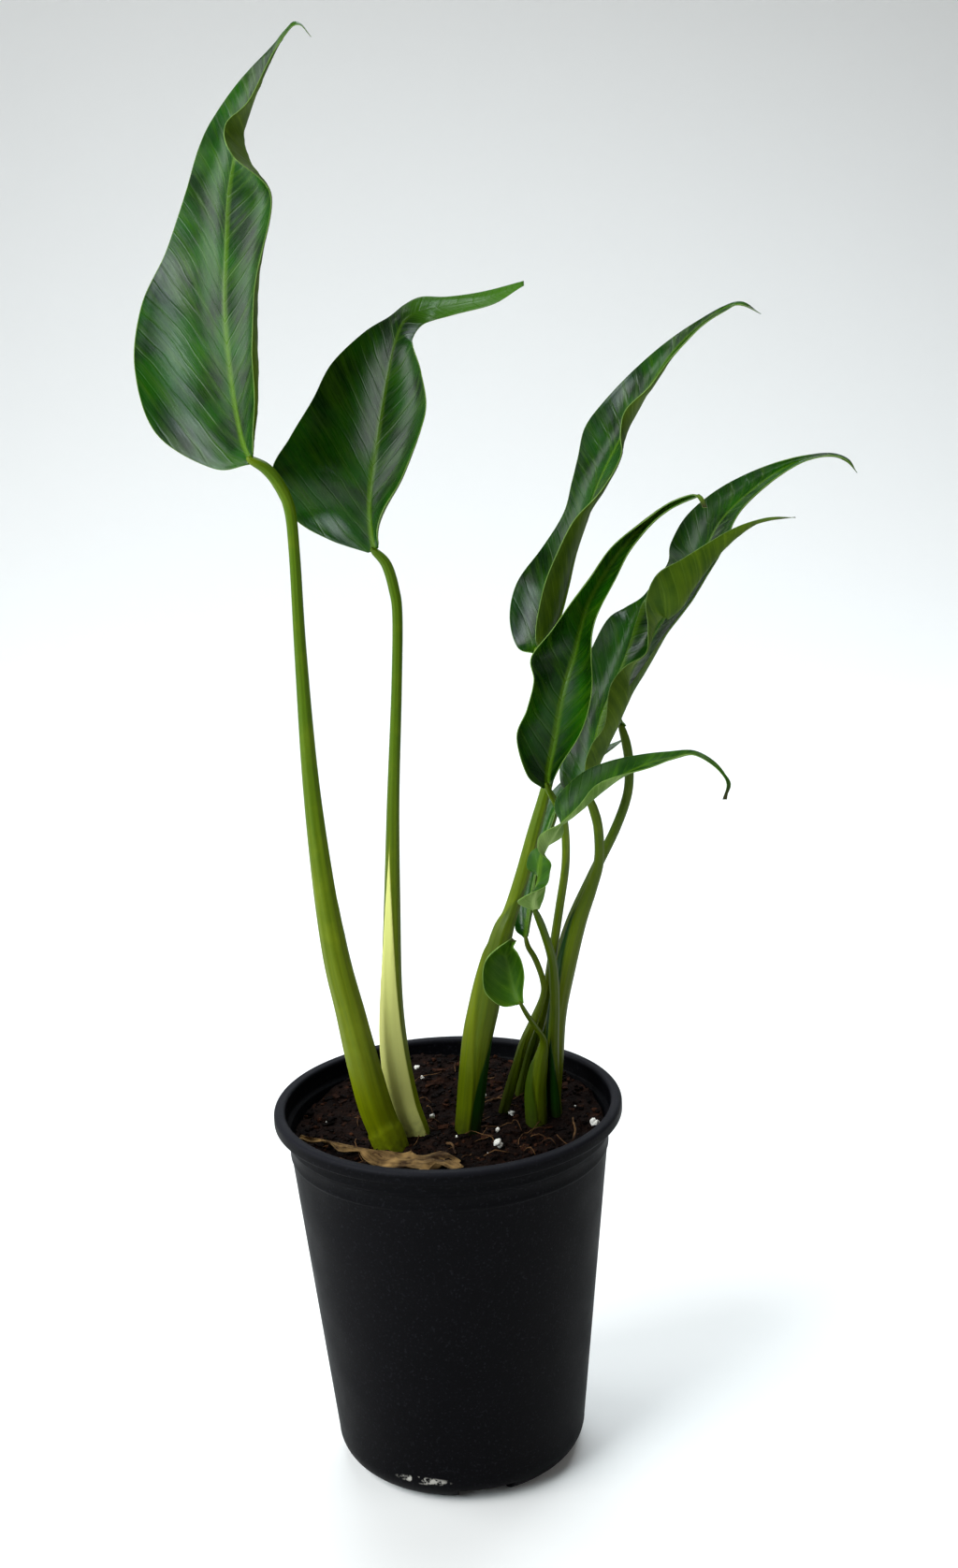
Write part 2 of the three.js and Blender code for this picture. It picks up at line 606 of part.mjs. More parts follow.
// The highest point of the compost under a small thing that lies at x, y.
function restHeight(x, y, size) {
  const down = new THREE.Vector3(0, 0, -1);
  let highest = 0;
  for (let k = 0; k <= 8; k++) {
    const a = (Math.PI * k) / 4;
    const out = k === 8 ? 0 : size;
    const from = new THREE.Vector3(x + out * Math.cos(a), y + out * Math.sin(a), potHeight * 2);
    const [hit] = new THREE.Raycaster(from, down).intersectObject(compostSkin);
    highest = Math.max(highest, hit ? hit.point.z : 0);
  }
  return highest;
}

// A withered leaf lying from the back wall round the front of the stalks: x, y and half its width.
const witheredGuide = [
  [-71, -7, 1.5], [-60, -14, 2.5], [-48, -22, 3], [-37, -29, 4], [-27, -36, 8],
  [-20, -39, 11], [-13, -41, 7], [-5, -40, 9], [2, -44, 5], [7, -50, 1.5],
];

function witheredLeaf() {
  const rows = witheredGuide.map(([x, y, half], i) => {
    const [nx, ny] = witheredGuide[Math.min(i + 1, witheredGuide.length - 1)];
    const [px, py] = witheredGuide[Math.max(i - 1, 0)];
    const turn = Math.atan2(ny - py, nx - px);
    const place = (side, lift) => {
      const u = (x - side * half * Math.sin(turn)) * spread;
      const v = (y + side * half * Math.cos(turn)) * spread;
      return new THREE.Vector3(u, v, restHeight(u, v, 3) + lift);
    };
    return [place(0, 1.2), place(1, 2.4), place(-1, 2.8), 0.1, 0.1];
  });
  return thicken(bladeSurface(rows, 22, 2), bladeThickness * 0.8);
}

// Perlite grains: x, y and size across.
const grains = [
  [-16, 54, 2.6], [-13, 44, 2], [-8, 11, 2.4], [17, 27, 2.6], [5, 17, 2.2],
  [30, 9, 2.8], [23, -6, 2.4], [23, -24, 4.4], [69, -6, 4],
];

function grain([x, y, size], index) {
  const lump = new THREE.IcosahedronGeometry(size / 2, 0);
  lump.scale(1.15, 0.95, 0.85);
  lump.rotateZ(index * 1.3);
  lump.rotateX(index * 0.7);
  lump.setIndex([...Array(lump.attributes.position.count).keys()]);
  const u = x * spread;
  const v = y * spread;
  lump.translate(u, v, restHeight(u, v, size / 2) + size * 0.57 + gap);
  return weld(lump);
}

// Bits of bark and dead root on the compost: start, end and radius.
const twigs = [
  [[-1, -18], [4, -30], 0.7],
  [[58, -20], [60, 2], 0.6],
];

function twig([from, to, radius]) {
  const rings = [];
  const steps = 5;
  const turn = Math.atan2(to[1] - from[1], to[0] - from[0]);
  for (let i = 0; i <= steps; i++) {
    const t = i / steps;
    const x = THREE.MathUtils.lerp(from[0], to[0], t) * spread;
    const y = THREE.MathUtils.lerp(from[1], to[1], t) * spread;
    const z = restHeight(x, y, 2) + radius + gap + 0.8 * Math.sin(t * 3);
    const ring = [];
    for (let j = 0; j < 6; j++) {
      const a = (Math.PI * j) / 3;
      const side = radius * Math.cos(a);
      ring.push([x - side * Math.sin(turn), y + side * Math.cos(turn), z + radius * Math.sin(a)]);
    }
    rings.push(ring);
  }
  return loft(rings);
}

// ---------- colours ----------
const paint = (colour, roughness) => new THREE.MeshStandardMaterial({ color: colour, roughness });
const potPlastic = paint("#1c1c1f", 0.55);
const compostBrown = paint("#2a1c14", 0.95);
const stalkGreen = paint("#4a6e10", 0.5);
const bladeGreen = paint("#17501c", 0.4);
const youngGreen = paint("#3f6f1c", 0.45);
const witheredBrown = paint("#75592f", 0.9);
const perliteWhite = paint("#d8d4cc", 0.9);
const barkBrown = paint("#4b3120", 0.9);

// ---------- the whole ----------
const whole = new THREE.Group();

function add(name, geometry, material) {
  geometry.computeVertexNormals();
  const mesh = new THREE.Mesh(geometry, material);
  mesh.name = name;
  whole.add(mesh);
}

const plants = Object.keys(bladeGuides);
add("pot", pot(), potPlastic);
add("compost", cut(compostBody(), plants.map((name) => stalk(name, gap))), compostBrown);
for (const name of plants) {
  const young = name === "curly_front" || name === "young_cup";
  add(`stalk_${name}`, stalk(name), stalkGreen);
  add(`blade_${name}`, blade(name), young ? youngGreen : bladeGreen);
}
add("withered_leaf", witheredLeaf(), witheredBrown);
grains.forEach((row, i) => add(`perlite_${i + 1}`, grain(row, i), perliteWhite));
twigs.forEach((row, i) => add(`twig_${i + 1}`, twig(row), barkBrown));

export default whole;
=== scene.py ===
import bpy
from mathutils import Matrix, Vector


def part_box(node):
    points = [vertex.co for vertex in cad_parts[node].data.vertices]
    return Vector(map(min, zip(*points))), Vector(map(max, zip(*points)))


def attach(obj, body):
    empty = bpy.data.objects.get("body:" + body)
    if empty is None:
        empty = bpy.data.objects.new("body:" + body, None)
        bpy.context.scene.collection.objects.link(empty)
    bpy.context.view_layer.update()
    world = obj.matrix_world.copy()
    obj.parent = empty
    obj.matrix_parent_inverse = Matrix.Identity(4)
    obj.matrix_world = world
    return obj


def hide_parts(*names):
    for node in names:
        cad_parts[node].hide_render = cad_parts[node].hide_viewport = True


bl_info = {
    "name": "Potted Monstera",
    "version": (1, 0, 0),
    "blender": (4, 5, 0),
    "location": "View3D > Sidebar > Plant",
    "description": "Builds the looks of a young monstera in its nursery pot over its packed frame",
    "category": "Object",
}

import math
import random

import bmesh
import bpy
from mathutils import Matrix, Vector, noise

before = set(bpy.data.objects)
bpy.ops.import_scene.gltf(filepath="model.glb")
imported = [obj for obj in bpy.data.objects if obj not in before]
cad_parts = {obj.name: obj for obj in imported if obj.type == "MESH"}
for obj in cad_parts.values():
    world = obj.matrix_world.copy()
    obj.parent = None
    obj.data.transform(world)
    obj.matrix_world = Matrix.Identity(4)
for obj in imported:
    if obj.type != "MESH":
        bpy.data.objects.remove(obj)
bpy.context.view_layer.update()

MM = 0.001
FULL_TURN = 2 * math.pi
ACROSS_MAP = 0.1  # one unit of a leaf's or stalk's map is 100 mm

# The pot, measured from its own box in the frame.
POT_LOW, POT_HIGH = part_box("pot")
RIM_RADIUS = (POT_HIGH.x - POT_LOW.x) / 2
FOOT_RADIUS = RIM_RADIUS * 0.714
FOOT_ROUND = 14.7 * MM
FLOOR_TOP = 3 * MM
WALL_TOP_RADIUS = RIM_RADIUS - 5.7 * MM
LIP_BOTTOM = POT_HIGH.z - 6.2 * MM
LEDGE = POT_HIGH.z - 10 * MM
HIGH_BAND = POT_HIGH.z - 13.6 * MM
LOW_BAND = POT_HIGH.z - 22 * MM
# Each band's lower edge: how many band steps it stands out, and its height over the band in mm.
LOW_BAND_EDGE = ((0, -0.3), (1.3, 0.2), (1.5, 0.8), (1, 1.8))
HIGH_BAND_EDGE = ((1, -0.3), (2.4, 0.2), (2.6, 0.8), (2, 1.8))
DRAIN_TOP = 7.6 * MM
DRAIN_INNER = 42 * MM
DRAIN_ANGLES = (-79, 11, 101, 191)

COMPOST_LEVEL = POT_HIGH.z - 15.7 * MM
COMPOST_RINGS = 90
COMPOST_STEPS = 260

# The loose litter. Each size draw: the least in mm, how much more at most, and the power that
# favours small ones.
LITTER_SEED = 7
LITTER_REACH = RIM_RADIUS - 8 * MM
CRUMB_SIZES = (1.1, 2.6, 2.4)
CHIP_SIZES = (2.2, 3.6, 1.5)
FIBRE_LENGTHS = (7, 20, 2)
CRUMB_SHAPE = (1, 0.8, 0.62, 1)
CHIP_SHAPE = (1, 0.45, 0.16, 1)
ANY_HEADING = 6.3  # in radians, just over a full turn
DUST_GRAINS = 9
PERLITE_GRAINS = 9

# Stalks and leaves.
BURIED = 12 * MM  # how far a stalk's foot goes under the compost
MARGIN_END = 0.86  # the share of a leaf's length where its pale margin ends
GROOVE_DEPTH = 0.3 * MM
GROOVE_WIDTH = 1.2 * MM
KEEL_HEIGHT = 1.3 * MM
KEEL_WIDTH = 1.3 * MM
LONG_WAVE = 9.5 * MM
SHORT_WAVE = 5.1 * MM
VEIN_DRIFT = 17 * MM

CAMERA_PLACE = (20.8, -960.63, 588.61)  # in mm
SENSOR = 36  # in mm
LAMP_AIM = (0.02, 0, 0.34)
# Each lamp: its place in metres, its size in metres, its power in watts and its tint.
LAMPS = {
    "key": ((-1.5, -1.0, 1.75), 1.5, 52, (0.97, 0.98, 1)),
    "window": ((-1.15, -1.25, 1.1), 0.8, 13, (0.76, 0.93, 1)),
    "fill": ((1.8, -0.9, 1.2), 1.4, 6, (1, 0.99, 0.97)),
    "back": ((0.2, 1.1, 2.2), 1.9, 56, (0.86, 0.94, 1)),
    "left_side": ((-1.9, 0.5, 0.9), 1.2, 16, (0.95, 0.98, 1)),
}
STUDIO_TINT = (0.97, 0.98, 1, 1)
STUDIO_GLOW = 0.1

# Each row: x, y, z above the compost and the stalk's radius, in mm.
STALK_GUIDES = {
    "tall_left": [
        [-28, -14, 0, 7.2], [-34, -15, 20, 7.6], [-39, -16, 45, 7.2], [-43, -16, 68, 6.6],
        [-48, -15, 95, 6], [-52, -13, 132, 5], [-55, -11, 180, 3.8], [-56, -11, 237, 2.8],
        [-56, -11, 280, 2.5], [-57, -11, 300, 2.5], [-61, -12, 311, 2.6], [-66, -13, 318, 2.5],
    ],
    "broad_left": [
        [-16, -1, 0, 6.4], [-21, 0, 16, 7], [-24, 1, 42, 6.4], [-24, 2, 70, 5],
        [-22, 4, 108, 4], [-19, 6, 160, 3], [-15, 8, 212, 2.5], [-13, 10, 246, 2.4],
        [-14, 11, 259, 2.5], [-17, 13, 270, 2.4],
    ],
    "tall_right": [
        [9, -2, 0, 5.4], [11, -2, 14, 6], [15, -2, 44, 6.5], [19, -1, 61, 6.8],
        [23, -1, 78, 6.1], [29, 0, 98, 4.9], [33, 1, 107, 3.6], [39, 2, 124, 3.4],
        [45, 3, 144, 3.1], [53, 5, 170, 2.5], [59, 9, 196, 2.4], [60, 12, 210, 2.4],
        [57, 13, 220, 2.3],
    ],
    "front_dark": [
        [34, 28, 0, 2.4], [40, 26, 25, 2.5], [46, 23, 45, 2.5], [50, 19, 65, 2.3],
        [53, 13, 86, 2.1], [56, 6, 107, 2], [59, -3, 130, 1.9], [59, -11, 149, 1.9],
        [57, -16, 159, 1.8],
    ],
    "folded_right": [
        [50, 19, 0, 3.6], [52, 17, 26, 3.9], [54, 15, 51, 4.1], [59, 12, 76, 4.2],
        [65, 11, 98, 3.7], [71, 10, 114, 2.9], [75, 8, 128, 2.4], [75, 5, 144, 2.3],
        [73, 4, 154, 2.2],
    ],
    "high_right": [
        [44, 38, 0, 2.8], [48, 36, 26, 3], [53, 33, 58, 2.9], [61, 30, 88, 2.8],
        [73, 26, 116, 2.5], [84, 23, 139, 2.3], [90, 22, 156, 2.2], [91, 22, 170, 2.2],
        [90, 22, 180, 2.2],
    ],
    "curly_front": [
        [51, 7, 0, 3.2], [50.5, 5, 23, 2.9], [51, 2, 43, 2.6], [52, -1, 60, 2.3],
        [52, -4, 74, 2.3], [51, -9, 88, 2.1], [48, -14, 101, 1.9], [46, -17, 108, 1.8],
    ],
    "slender_back": [
        [26, 14, 0, 2.2], [32, 12, 21, 2.3], [37, 10, 38, 2.2], [42, 8, 50, 2],
        [47, 7, 63, 1.5], [47, 8, 71, 1.4], [44, 11, 80, 1.4], [41, 14, 85, 1.3],
    ],
    "young_cup": [
        [42, 2, 0, 4.6], [42, 2, 16, 4.6], [44, 1, 30, 3.8], [46, -1, 40, 2.4],
        [46, -4, 46, 1.5], [43, -9, 53, 1.3], [39, -16, 62, 1.2],
    ],
}

# Each row: a point on the midrib, on the left and on the right edge, then each half's bow.
BLADE_GUIDES = {
    "tall_left": [
        [[-72, -14, 322], [-73, -14, 320], [-71, -15, 324], 0.1, 0.1],
        [[-75, -12, 329], [-90, -5, 318], [-69, -25, 330], 0.1, 0.1],
        [[-77, -10, 340], [-115, 6, 333], [-67, -40, 342], 0.12, 0.12],
        [[-79, -8, 358], [-123, 12, 361], [-66, -48, 361], 0.14, 0.15],
        [[-80, -6, 384], [-119, 18, 387], [-64, -44, 385], 0.14, 0.16],
        [[-78, -5, 409], [-106, 21, 411], [-60, -36, 411], 0.12, 0.16],
        [[-75, -6, 434], [-96, 17, 435], [-55, -31, 433], 0.12, 0.2],
        [[-70, -9, 452], [-87, 9, 454], [-69, -35, 448], 0.12, 0.2],
        [[-66, -10, 461], [-79, 4, 466], [-72, -30, 460], 0.1, 0.15],
        [[-59, -13, 476], [-67, -4, 479], [-62, -25, 471], 0.1, 0.1],
        [[-47, -20, 495], [-48, -18, 495], [-46, -23, 494], 0, 0],
        [[-40, -25, 499], [-41, -24, 499], [-40, -26, 498], 0, 0],
        [[-35, -29, 493], [-35, -28, 493], [-35, -30, 493], 0, 0],
    ],
    "broad_left": [
        [[-22, 14, 276], [-25, 16, 275], [-20, 13, 278], 0.1, 0.1],
        [[-23, 14, 286], [-43, 22, 281], [-19, 1, 288], 0.1, 0.1],
        [[-23, 13, 297], [-59, 28, 291], [-15, -15, 300], 0.12, 0.12],
        [[-21, 12, 311], [-67, 25, 311], [-7, -22, 314], 0.14, 0.14],
        [[-18, 12, 327], [-58, 31, 327], [1, -20, 330], 0.14, 0.14],
        [[-15, 14, 342], [-47, 33, 343], [5, -12, 343], 0.12, 0.12],
        [[-12, 17, 355], [-38, 36, 358], [3, -4, 356], 0.12, 0.12],
        [[-9, 21, 366], [-23, 35, 371], [-1, 8, 366], 0.1, 0.1],
        [[-5, 26, 375], [-11, 32, 378], [0, 20, 370], 0.08, 0.08],
        [[0, 29, 379], [-4, 31, 383], [4, 27, 374], 0.08, 0.08],
        [[7, 29, 381], [4, 30, 386], [10, 27, 376], 0.1, 0.1],
        [[17, 25, 382], [16, 27, 386], [18, 22, 378], 0.1, 0.1],
        [[33, 18, 385], [32, 19, 388], [34, 16, 382], 0.1, 0.1],
        [[49, 9, 391], [49, 9, 392], [49, 8, 390], 0, 0],
    ],
    "tall_right": [
        [[50, 14, 227], [48, 15, 226], [50, 13, 228], 0.05, 0.05],
        [[55, 15, 233], [41, 26, 227], [49, 2, 235], 0.1, 0.1],
        [[60, 16, 243], [38, 31, 240], [50, -4, 247], 0.15, 0.1],
        [[64, 17, 256], [42, 36, 255], [53, -6, 261], 0.15, 0.1],
        [[68, 18, 271], [54, 42, 270], [59, -6, 274], 0.15, 0.1],
        [[74, 19, 287], [65, 42, 286], [67, -4, 288], 0.15, 0.1],
        [[79, 20, 300], [69, 40, 300], [79, -2, 300], 0.14, 0.1],
        [[85, 20, 312], [72, 37, 312], [88, 0, 315], 0.14, 0.1],
        [[92, 20, 324], [75, 34, 325], [89, 2, 325], 0.14, 0.1],
        [[98, 20, 334], [83, 31, 336], [92, 6, 335], 0.12, 0.1],
        [[105, 18, 346], [96, 29, 349], [103, 6, 345], 0.12, 0.1],
        [[114, 14, 359], [109, 20, 361], [113, 7, 358], 0.1, 0.1],
        [[125, 8, 370], [123, 12, 371], [124, 4, 369], 0.05, 0.05],
        [[134, 0, 377], [134, 2, 378], [135, -2, 376], 0, 0],
        [[141, -6, 379], [142, -5, 380], [141, -7, 379], 0, 0],
        [[149, -12, 375], [149, -11, 375], [149, -13, 375], 0, 0],
    ],
    "front_dark": [
        [[51, -24, 173], [49, -26, 173], [53, -24, 174], 0, 0],
        [[52, -23, 181], [42, -31, 181], [57, -29, 183], 0.1, 0.1],
        [[55, -22, 194], [38, -33, 199], [65, -32, 197], 0.12, 0.12],
        [[58, -21, 209], [43, -32, 211], [70, -32, 211], 0.12, 0.12],
        [[61, -20, 220], [47, -30, 223], [72, -31, 221], 0.12, 0.12],
        [[65, -19, 231], [46, -28, 233], [72, -30, 232], 0.12, 0.12],
        [[68, -18, 242], [55, -29, 245], [73, -28, 243], 0.12, 0.12],
        [[72, -17, 254], [64, -25, 256], [77, -25, 254], 0.12, 0.12],
        [[79, -17, 266], [73, -24, 267], [84, -24, 267], 0.15, 0.15],
        [[86, -18, 276], [82, -23, 278], [90, -24, 277], 0.15, 0.15],
        [[97, -20, 288], [95, -24, 289], [99, -25, 288], 0.15, 0.15],
        [[108, -23, 296], [106, -25, 297], [108, -26, 295], 0.1, 0.1],
        [[117, -27, 300], [116, -28, 301], [118, -28, 300], 0, 0],
        [[120, -30, 300], [119, -30, 300], [121, -30, 300], 0, 0],
        [[122, -33, 296], [121, -33, 296], [123, -33, 296], 0, 0],
    ],
    "folded_right": [
        [[70, 2, 162], [68, 3, 162], [72, 1, 163], 0.05, 0.05],
        [[71, 3, 170], [59, 11, 164], [69, -7, 176], 0.1, 0.3],
        [[74, 5, 183], [59, 17, 177], [72, -10, 188], 0.15, 0.4],
        [[77, 7, 195], [61, 24, 191], [78, -11, 198], 0.2, 0.4],
        [[82, 8, 208], [68, 30, 208], [81, -9, 214], 0.25, 0.5],
        [[87, 8, 219], [76, 28, 226], [88, -5, 222], 0.25, 0.3],
        [[91, 8, 229], [83, 24, 239], [98, -5, 228], 0.25, 0.25],
        [[95, 9, 241], [91, 23, 244], [99, -3, 239], 0.2, 0.5],
        [[99, 10, 250], [99, 21, 249], [98, -6, 252], 0.2, 0.8],
        [[109, 10, 257], [107, 19, 259], [103, -8, 264], 0.1, 0.8],
        [[120, 8, 265], [118, 15, 266], [114, -7, 270], 0.1, 0.6],
        [[131, 5, 274], [130, 10, 274], [127, -5, 277], 0.1, 0.5],
        [[141, 1, 280], [140, 4, 280], [139, -4, 283], 0.1, 0.4],
        [[152, -5, 286], [152, -4, 285], [152, -6, 287], 0, 0],
        [[164, -10, 287], [164, -9, 287], [164, -11, 287], 0, 0],
    ],
    "high_right": [
        [[88, 22, 188], [86, 23, 188], [90, 21, 189], 0.05, 0.05],
        [[86, 24, 195], [80, 34, 189], [84, 14, 198], 0.1, 0.35],
        [[90, 26, 206], [79, 46, 200], [91, 12, 209], 0.1, 0.25],
        [[97, 27, 219], [83, 51, 217], [100, 10, 223], 0.12, 0.2],
        [[105, 28, 231], [95, 54, 231], [109, 9, 235], 0.14, 0.1],
        [[115, 28, 246], [107, 55, 248], [121, 8, 250], 0.14, 0.1],
        [[124, 28, 260], [114, 55, 259], [129, 9, 263], 0.14, 0.1],
        [[130, 28, 272], [115, 52, 268], [135, 12, 273], 0.14, 0.1],
        [[136, 28, 282], [122, 50, 281], [141, 15, 284], 0.14, 0.1],
        [[146, 27, 292], [134, 45, 292], [149, 16, 293], 0.14, 0.1],
        [[159, 24, 302], [150, 35, 302], [161, 17, 302], 0.12, 0.1],
        [[172, 18, 309], [166, 22, 309], [172, 15, 309], 0.1, 0.05],
        [[183, 11, 311], [182, 13, 312], [182, 9, 311], 0, 0],
        [[189, 6, 309], [190, 7, 310], [189, 5, 309], 0, 0],
        [[193, 2, 304], [193, 3, 304], [193, 1, 304], 0, 0],
    ],
    "curly_front": [
        [[44, -20, 114], [46, -19, 115], [42, -21, 115], 0, 0],
        [[43, -22, 120], [48, -22, 121], [36, -25, 120], 0.1, 0.1],
        [[44, -24, 126], [49, -22, 127], [41, -30, 125], 0.1, 0.1],
        [[45, -25, 130], [47, -21, 131], [49, -30, 129], 0.1, 0.1],
        [[46, -26, 135], [41, -21, 135], [51, -28, 135], 0.1, 0.1],
        [[47, -26, 141], [43, -20, 142], [51, -31, 140], 0.1, 0.1],
        [[49, -27, 146], [49, -21, 145], [46, -33, 146], 0.1, 0.1],
        [[52, -28, 151], [57, -24, 150], [46, -33, 152], 0.1, 0.1],
        [[55, -29, 156], [57, -22, 156], [49, -36, 156], 0.1, 0.1],
        [[59, -30, 160], [54, -23, 162], [56, -38, 160], 0.12, 0.12],
        [[67, -30, 166], [56, -23, 169], [64, -37, 167], 0.12, 0.2],
        [[76, -30, 173], [67, -20, 178], [72, -36, 176], 0.12, 0.2],
        [[85, -30, 179], [79, -21, 183], [83, -35, 180], 0.1, 0.1],
        [[97, -30, 184], [93, -23, 186], [96, -34, 183], 0.1, 0.1],
        [[106, -31, 186], [105, -27, 188], [106, -33, 186], 0.1, 0.1],
        [[116, -33, 188], [116, -31, 189], [115, -35, 188], 0, 0],
        [[124, -36, 184], [125, -35, 184], [124, -37, 183], 0, 0],
        [[131, -39, 176], [130, -38, 176], [129, -40, 176], 0, 0],
        [[128, -42, 169], [129, -42, 169], [127, -42, 169], 0, 0],
    ],
    "slender_back": [
        [[40, 16, 89], [39, 17, 89], [41, 15, 90], 0, 0],
        [[41, 17, 97], [35, 18, 94], [42, 13, 99], 0.2, 0.2],
        [[43, 19, 110], [38, 26, 107], [44, 11, 112], 0.2, 0.2],
        [[47, 22, 125], [42, 30, 124], [47, 14, 128], 0.2, 0.2],
        [[52, 25, 140], [48, 33, 140], [54, 17, 144], 0.2, 0.2],
        [[57, 28, 150], [53, 36, 152], [58, 21, 154], 0.2, 0.2],
        [[65, 31, 161], [63, 37, 162], [66, 25, 162], 0.2, 0.2],
        [[76, 35, 171], [74, 39, 172], [77, 31, 171], 0.2, 0.2],
        [[85, 38, 176], [85, 40, 176], [85, 36, 175], 0, 0],
        [[90, 40, 178], [90, 41, 178], [90, 39, 178], 0, 0],
    ],
    "young_cup": [
        [[36, -22, 70], [34, -22, 70], [37, -23, 71], 0, 0],
        [[34, -20, 73], [27, -23, 70], [37, -22, 76], 0.15, 0.15],
        [[32, -17, 79], [20, -24, 77], [38, -23, 84], 0.15, 0.15],
        [[31, -16, 86], [19, -25, 87], [37, -25, 91], 0.15, 0.15],
        [[30, -17, 92], [21, -26, 94], [35, -26, 96], 0.15, 0.15],
        [[31, -20, 97], [26, -26, 99], [33, -25, 99], 0.1, 0.1],
        [[34, -24, 102], [33, -24, 103], [35, -25, 102], 0, 0],
    ],
}

# How each leaf differs: side-vein spacing, margin wave and quilting in mm, its kind, and the
# share of its length past which it is a lighter green.
BLADE_TRAITS = {
    "tall_left": (11, 1.0, 0.2, "grown", 1),
    "broad_left": (12, 0.8, 0.06, "grown", 0.62),
    "tall_right": (9, 0.6, 0.07, "grown", 1),
    "front_dark": (9, 0.6, 0.05, "grown", 1),
    "folded_right": (8, 0.5, 0.07, "grown", 1),
    "high_right": (9, 0.7, 0.08, "grown", 1),
    "curly_front": (7, 0.3, 0.04, "young", 1),
    "slender_back": (7, 0.3, 0.04, "grown", 1),
    "young_cup": (5, 0.3, 0.05, "cup", 1),
}

# The leaf bases that wrap a stalk, and painted shade on the stalks: top in mm above the compost,
# the angle they face, their half width in degrees at the foot, their thickness in mm, how pale they
# are (below 0: how dark the painted shade is), and the height below which the tint fades. A row
# 500 degrees wide and 0 mm thick is only painted shade, darker toward the stalk's foot all round.
SHEATHS_AND_SHADE = {
    "tall_left": [(12, 290, 170, 0.7, 0.4, 0), (150, 40, 50, 0.5, -0.3, 0)],
    "broad_left": [(146, 246, 74, 0.6, 1.0, 0)],
    "tall_right": [
        (94, 190, 88, 0.9, 0.5, 62), (130, 0, 500, 0, -0.4, 0), (64, 15, 100, 0.1, -0.85, 0),
    ],
    "folded_right": [(240, 0, 500, 0, -0.3, 0), (108, 195, 84, 1.0, -0.85, 0)],
    "high_right": [(240, 0, 500, 0, -0.4, 0), (60, 190, 90, 0.5, -0.6, 0)],
    "curly_front": [(150, 0, 500, 0, -0.55, 0), (46, 240, 80, 0.5, -0.5, 0)],
    "slender_back": [(150, 0, 500, 0, -0.35, 0), (52, 250, 70, 0.6, -0.15, 0)],
    "young_cup": [(90, 0, 500, 0, -0.5, 0), (36, 200, 75, 0.9, -0.3, 0)],
    "front_dark": [(150, 0, 500, 0, -0.35, 0), (48, 250, 90, 0.4, -0.35, 0)],
}

# Each row: x, y and half the width of the dead leaf, in mm.
WITHERED_GUIDE = [
    [-71, -7, 1.5], [-60, -14, 2.5], [-48, -22, 3], [-37, -29, 4], [-27, -36, 8],
    [-20, -39, 11], [-13, -41, 7], [-5, -40, 9], [2, -44, 5], [7, -50, 1.5],
]

# Each row: the two ends of a bit of dead root and its radius, in mm.
TWIGS = [[[-1, -18], [4, -30], 0.7], [[58, -20], [60, 2], 0.6]]


# ---------- curves ----------
def smooth(rows, t):
    """A smooth curve through rows of numbers, at t from 0 to 1."""
    spans = len(rows) - 1
    i = min(int(t * spans), spans - 1)
    u = t * spans - i
    made = []
    for k, p1 in enumerate(rows[i]):
        p2 = rows[i + 1][k]
        p0 = rows[i - 1][k] if i > 0 else 2 * p1 - p2
        p3 = rows[i + 2][k] if i + 2 <= spans else 2 * p2 - p1
        bend = 2 * p0 - 5 * p1 + 4 * p2 - p3
        rise = 3 * p1 - p0 - 3 * p2 + p3
        made.append(0.5 * (2 * p1 + (p2 - p0) * u + bend * u * u + rise * u * u * u))
    return made


def planted(point):
    """A guide point in mm above the compost, put in the pot's frame in metres."""
    return Vector((point[0] * MM, point[1] * MM, point[2] * MM + COMPOST_LEVEL))


def ease(x, low, high):
    """0 below low, 1 above high, and a smooth rise between."""
    t = min(max((x - low) / (high - low), 0), 1)
    return t * t * (3 - 2 * t)


def compost_height(x, y):
    """The compost's surface over a place, all in metres: it rises to the back, with a mound on
    the back left, a dip on the front left and ripples two or three centimetres long."""
    u = x / MM
    v = y / MM
    mound = 3 * math.exp(-((u + 22) ** 2 + (v - 58) ** 2) / 700)
    rise = 7 * ease(v + 0.25 * u, -5, 62)
    dip = -2.2 * math.exp(-((u + 30) ** 2 + (v + 45) ** 2) / 700)
    ripple = 0.6 * math.sin(u * 0.19 + 1) * math.cos(v * 0.23)
    ripple += 0.4 * math.sin(u * 0.41 - v * 0.33)
    return COMPOST_LEVEL + (rise + mound + dip + ripple) * MM


def rest_height(x, y, size):
    """The highest compost under a small thing of that size."""
    around = [compost_height(x, y)]
    for k in range(8):
        a = math.pi * k / 4
        around.append(compost_height(x + size * math.cos(a), y + size * math.sin(a)))
    return max(around)


# ---------- objects and materials ----------
def linear(code):
    """An sRGB hex colour as a linear RGBA tuple."""
    parts = [int(code[i : i + 2], 16) / 255 for i in (1, 3, 5)]
    return (*[c / 12.92 if c <= 0.04045 else ((c + 0.055) / 1.055) ** 2.4 for c in parts], 1)


def piece(name, bm, materials, replaced=(), facets=False):
    """Makes a mesh into a piece of the plant that rides on the root body."""
    mesh = bpy.data.meshes.new(name)
    bm.to_mesh(mesh)
    bm.free()
    if not facets:
        mesh.shade_smooth()
    for material in materials:
        mesh.materials.append(material)
    made = bpy.data.objects.new(name, mesh)
    bpy.context.scene.collection.objects.link(made)
    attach(made, "root")
    if replaced:
        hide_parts(*replaced)
    return made


def per_metre(size):
    """How many times a pattern of that size in mm fits in a metre."""
    return 1 / (size * MM)


def drawn_out(width, length):
    """The scale of a grain of that width and length in mm on a leaf's map."""
    return (ACROSS_MAP / (width * MM), ACROSS_MAP / (length * MM), 1)


